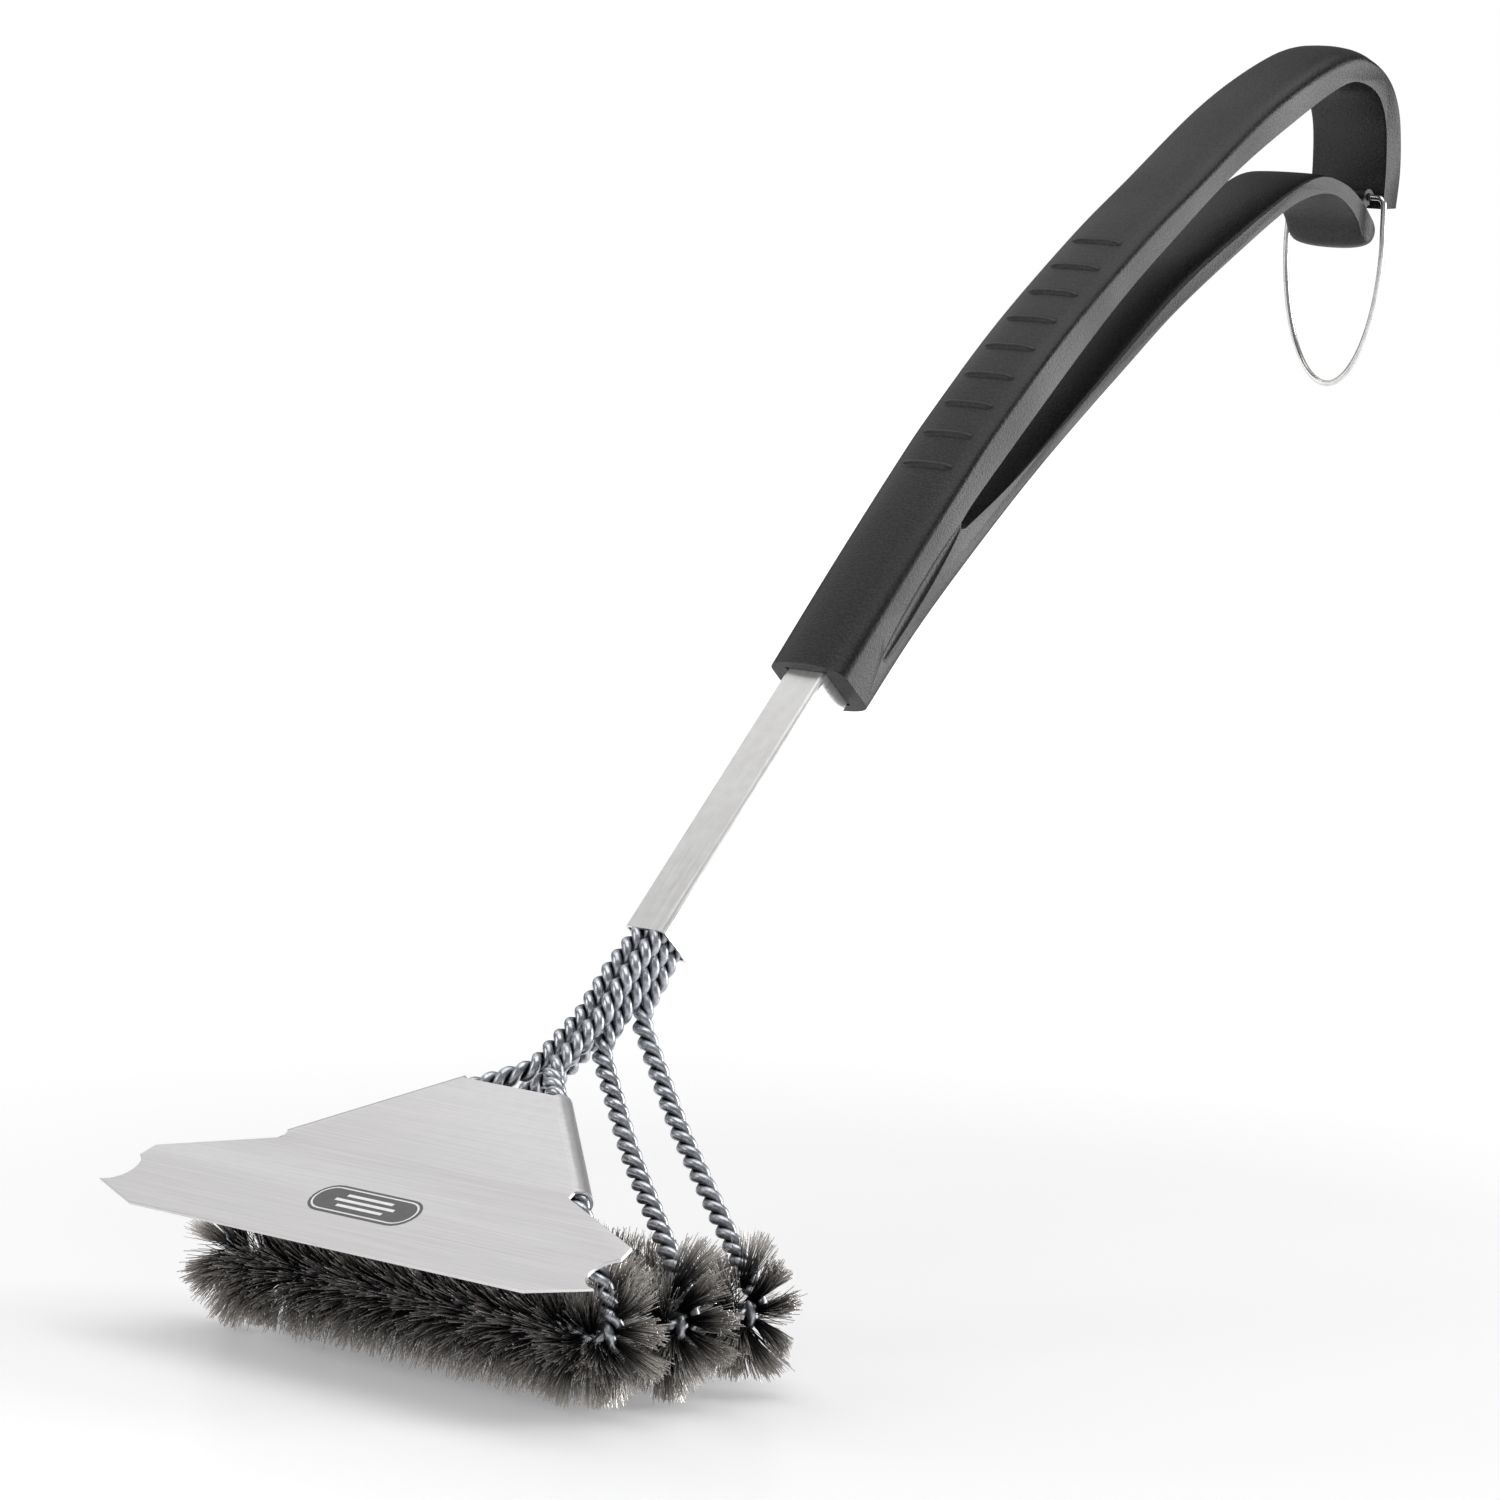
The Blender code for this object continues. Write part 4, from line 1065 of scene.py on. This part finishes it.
def buildRing(steps=40):
    pivot = onHandle(*barrel["centre"])
    half = filletPath([Vector((0, 0, 0)), Vector((ring["half"] - ring["splay"], 0, 0)),
                       Vector((ring["half"], 0, -ring["shoulder"]))], [ring["corner"]])
    oval = ring["drop"] - ring["shoulder"]
    for step in range(1, steps + 1):
        angle = step / steps * math.pi / 2.0
        half.append(Vector((ring["half"] * math.cos(angle), 0.0,
                            -ring["shoulder"] - oval * math.sin(angle))))
    path = half + [Vector((-p.x, p.y, p.z)) for p in reversed(half[1:-1])]
    bm = bmesh.new()
    rings = []
    count = len(path)
    outY = Vector((0.0, 1.0, 0.0))
    for index in range(count):
        tangent = (path[(index + 1) % count] - path[index - 1]).normalized()
        side = tangent.cross(outY)
        rings.append([
            bm.verts.new(pivot + path[index]
                         + (outY * math.cos(2 * math.pi * s / ring["sides"])
                            + side * math.sin(2 * math.pi * s / ring["sides"])) * ring["wire"])
            for s in range(ring["sides"])])
    for index in range(count):
        first, second = rings[index], rings[(index + 1) % count]
        for s in range(ring["sides"]):
            following = (s + 1) % ring["sides"]
            bm.faces.new((first[s], first[following], second[following], second[s]))
    meshPiece("hangRing", bm, ringWire, "hang_ring", ("hang_ring",), sharp=60.0)


buildRing()
for nodeName, material in (("shaft_tube", tubeSteel), ("leg_weld_bead", coatedWire),
                           ("tube_cross_pin", coatedWire), ("tube_end_plug", blackNylon)):
    node = nodes[nodeName]
    for index in range(len(node.material_slots)):
        node.material_slots[index].material = material
print("ring and CAD pieces finished")


studio = {
    "reach": 5.0, "rough": 0.28, "dark": (0.86, 0.86, 0.865), "light": (0.90, 0.90, 0.905),
    "glowNear": (0.25, 0.25, 0.255), "glowFar": (1.0, 1.0, 1.0), "glowFrom": 0.35,
    "glowFull": 1.5, "skyBehind": 1.0, "skyLight": 0.24,
    "lamps": {          # place, target, width and height in metres, watts
        "topSoftbox": ((0.2, -0.1, 1.5), (0.0, 0.0, -0.1), (1.6, 1.6), 17.0),
        "upperLeftSoftbox": ((-1.1, 0.16, 1.1), (0.0, 0.0, 0.0), (1.3, 1.5), 4.6),
        "frontSoftbox": ((-0.9, -1.6, 0.7), (0.0, 0.0, 0.0), (1.0, 1.2), 8.0),
        "sideSoftbox": ((1.05, 1.15, 0.02), (0.0, 0.0, 0.0), (0.7, 1.3), 25.0)},
}
view = {"lens": 154.96, "place": (1.193043, -1.423715, 0.080352),
        "right": (0.73851, 0.67221, 0.05230), "up": (-0.10641, 0.03960, 0.99353),
        "forward": (-0.66579, 0.73930, -0.10077)}


# pale floor with painted light: it glows, dimmer near the brush and brighter away from it, as
# inside a light tent
def makeFloorMaterial():
    material, tree, shader = newMaterial("paleFloor")
    vector = placed(tree)
    grain = useGroup(tree, grainGroup, vector, Grain_Scale=300.0, Swell_Scale=3.0)
    link(tree, mixColours(tree, grain["Swell"], studio["dark"], studio["light"]),
         shader.inputs["Base Color"])
    shader.inputs["Roughness"].default_value = studio["rough"]
    far = ranged(tree, vectorMath(tree, "LENGTH", vector), 0.0, 1.0, studio["glowFrom"],
                 studio["glowFull"])
    link(tree, mixColours(tree, far, studio["glowNear"], studio["glowFar"]),
         shader.inputs["Emission Color"])
    shader.inputs["Emission Strength"].default_value = 1.0
    return material


def buildFloor():
    reach, low = studio["reach"], cadBox[0].z
    mesh = bpy.data.meshes.new("studioFloor")
    mesh.from_pydata([(-reach, -reach, low), (reach, -reach, low), (reach, reach, low),
                      (-reach, reach, low)], [], [(0, 1, 2, 3)])
    mesh.materials.append(makeFloorMaterial())
    newObject("studioFloor", mesh)


def buildLamps():
    for name, (place, target, size, power) in studio["lamps"].items():
        data = bpy.data.lights.new(name, "AREA")
        data.shape = "RECTANGLE"
        data.size, data.size_y = size
        data.energy = power
        lamp = newObject(name, data)
        lamp.location = place
        aim = Vector(target) - Vector(place)
        lamp.rotation_euler = aim.to_track_quat("-Z", "Y").to_euler()


def buildSky():
    world = bpy.data.worlds.new("studioWorld")
    bpy.context.scene.world = world
    world.use_nodes = True
    tree = world.node_tree
    background = tree.nodes["Background"]
    background.inputs[0].default_value = (1.0, 1.0, 1.0, 1.0)
    lightPath = addNode(tree, "ShaderNodeLightPath")      # white behind, dimmer as a light
    link(tree, ranged(tree, lightPath.outputs["Is Camera Ray"], studio["skyLight"],
                      studio["skyBehind"]), background.inputs[1])


def buildCamera():
    data = bpy.data.cameras.new("viewCamera")
    data.lens = view["lens"]
    data.sensor_width = 36.0
    data.clip_end = 50.0
    camera = newObject("viewCamera", data)
    columns = (view["right"], view["up"], [-c for c in view["forward"]], view["place"])
    rows = [[column[index] for column in columns] for index in range(3)]
    camera.matrix_world = Matrix(rows + [[0.0, 0.0, 0.0, 1.0]])
    bpy.context.scene.camera = camera


buildFloor()
buildLamps()
buildSky()
buildCamera()
bpy.context.scene.view_settings.view_transform = "Standard"
print("studio ready")
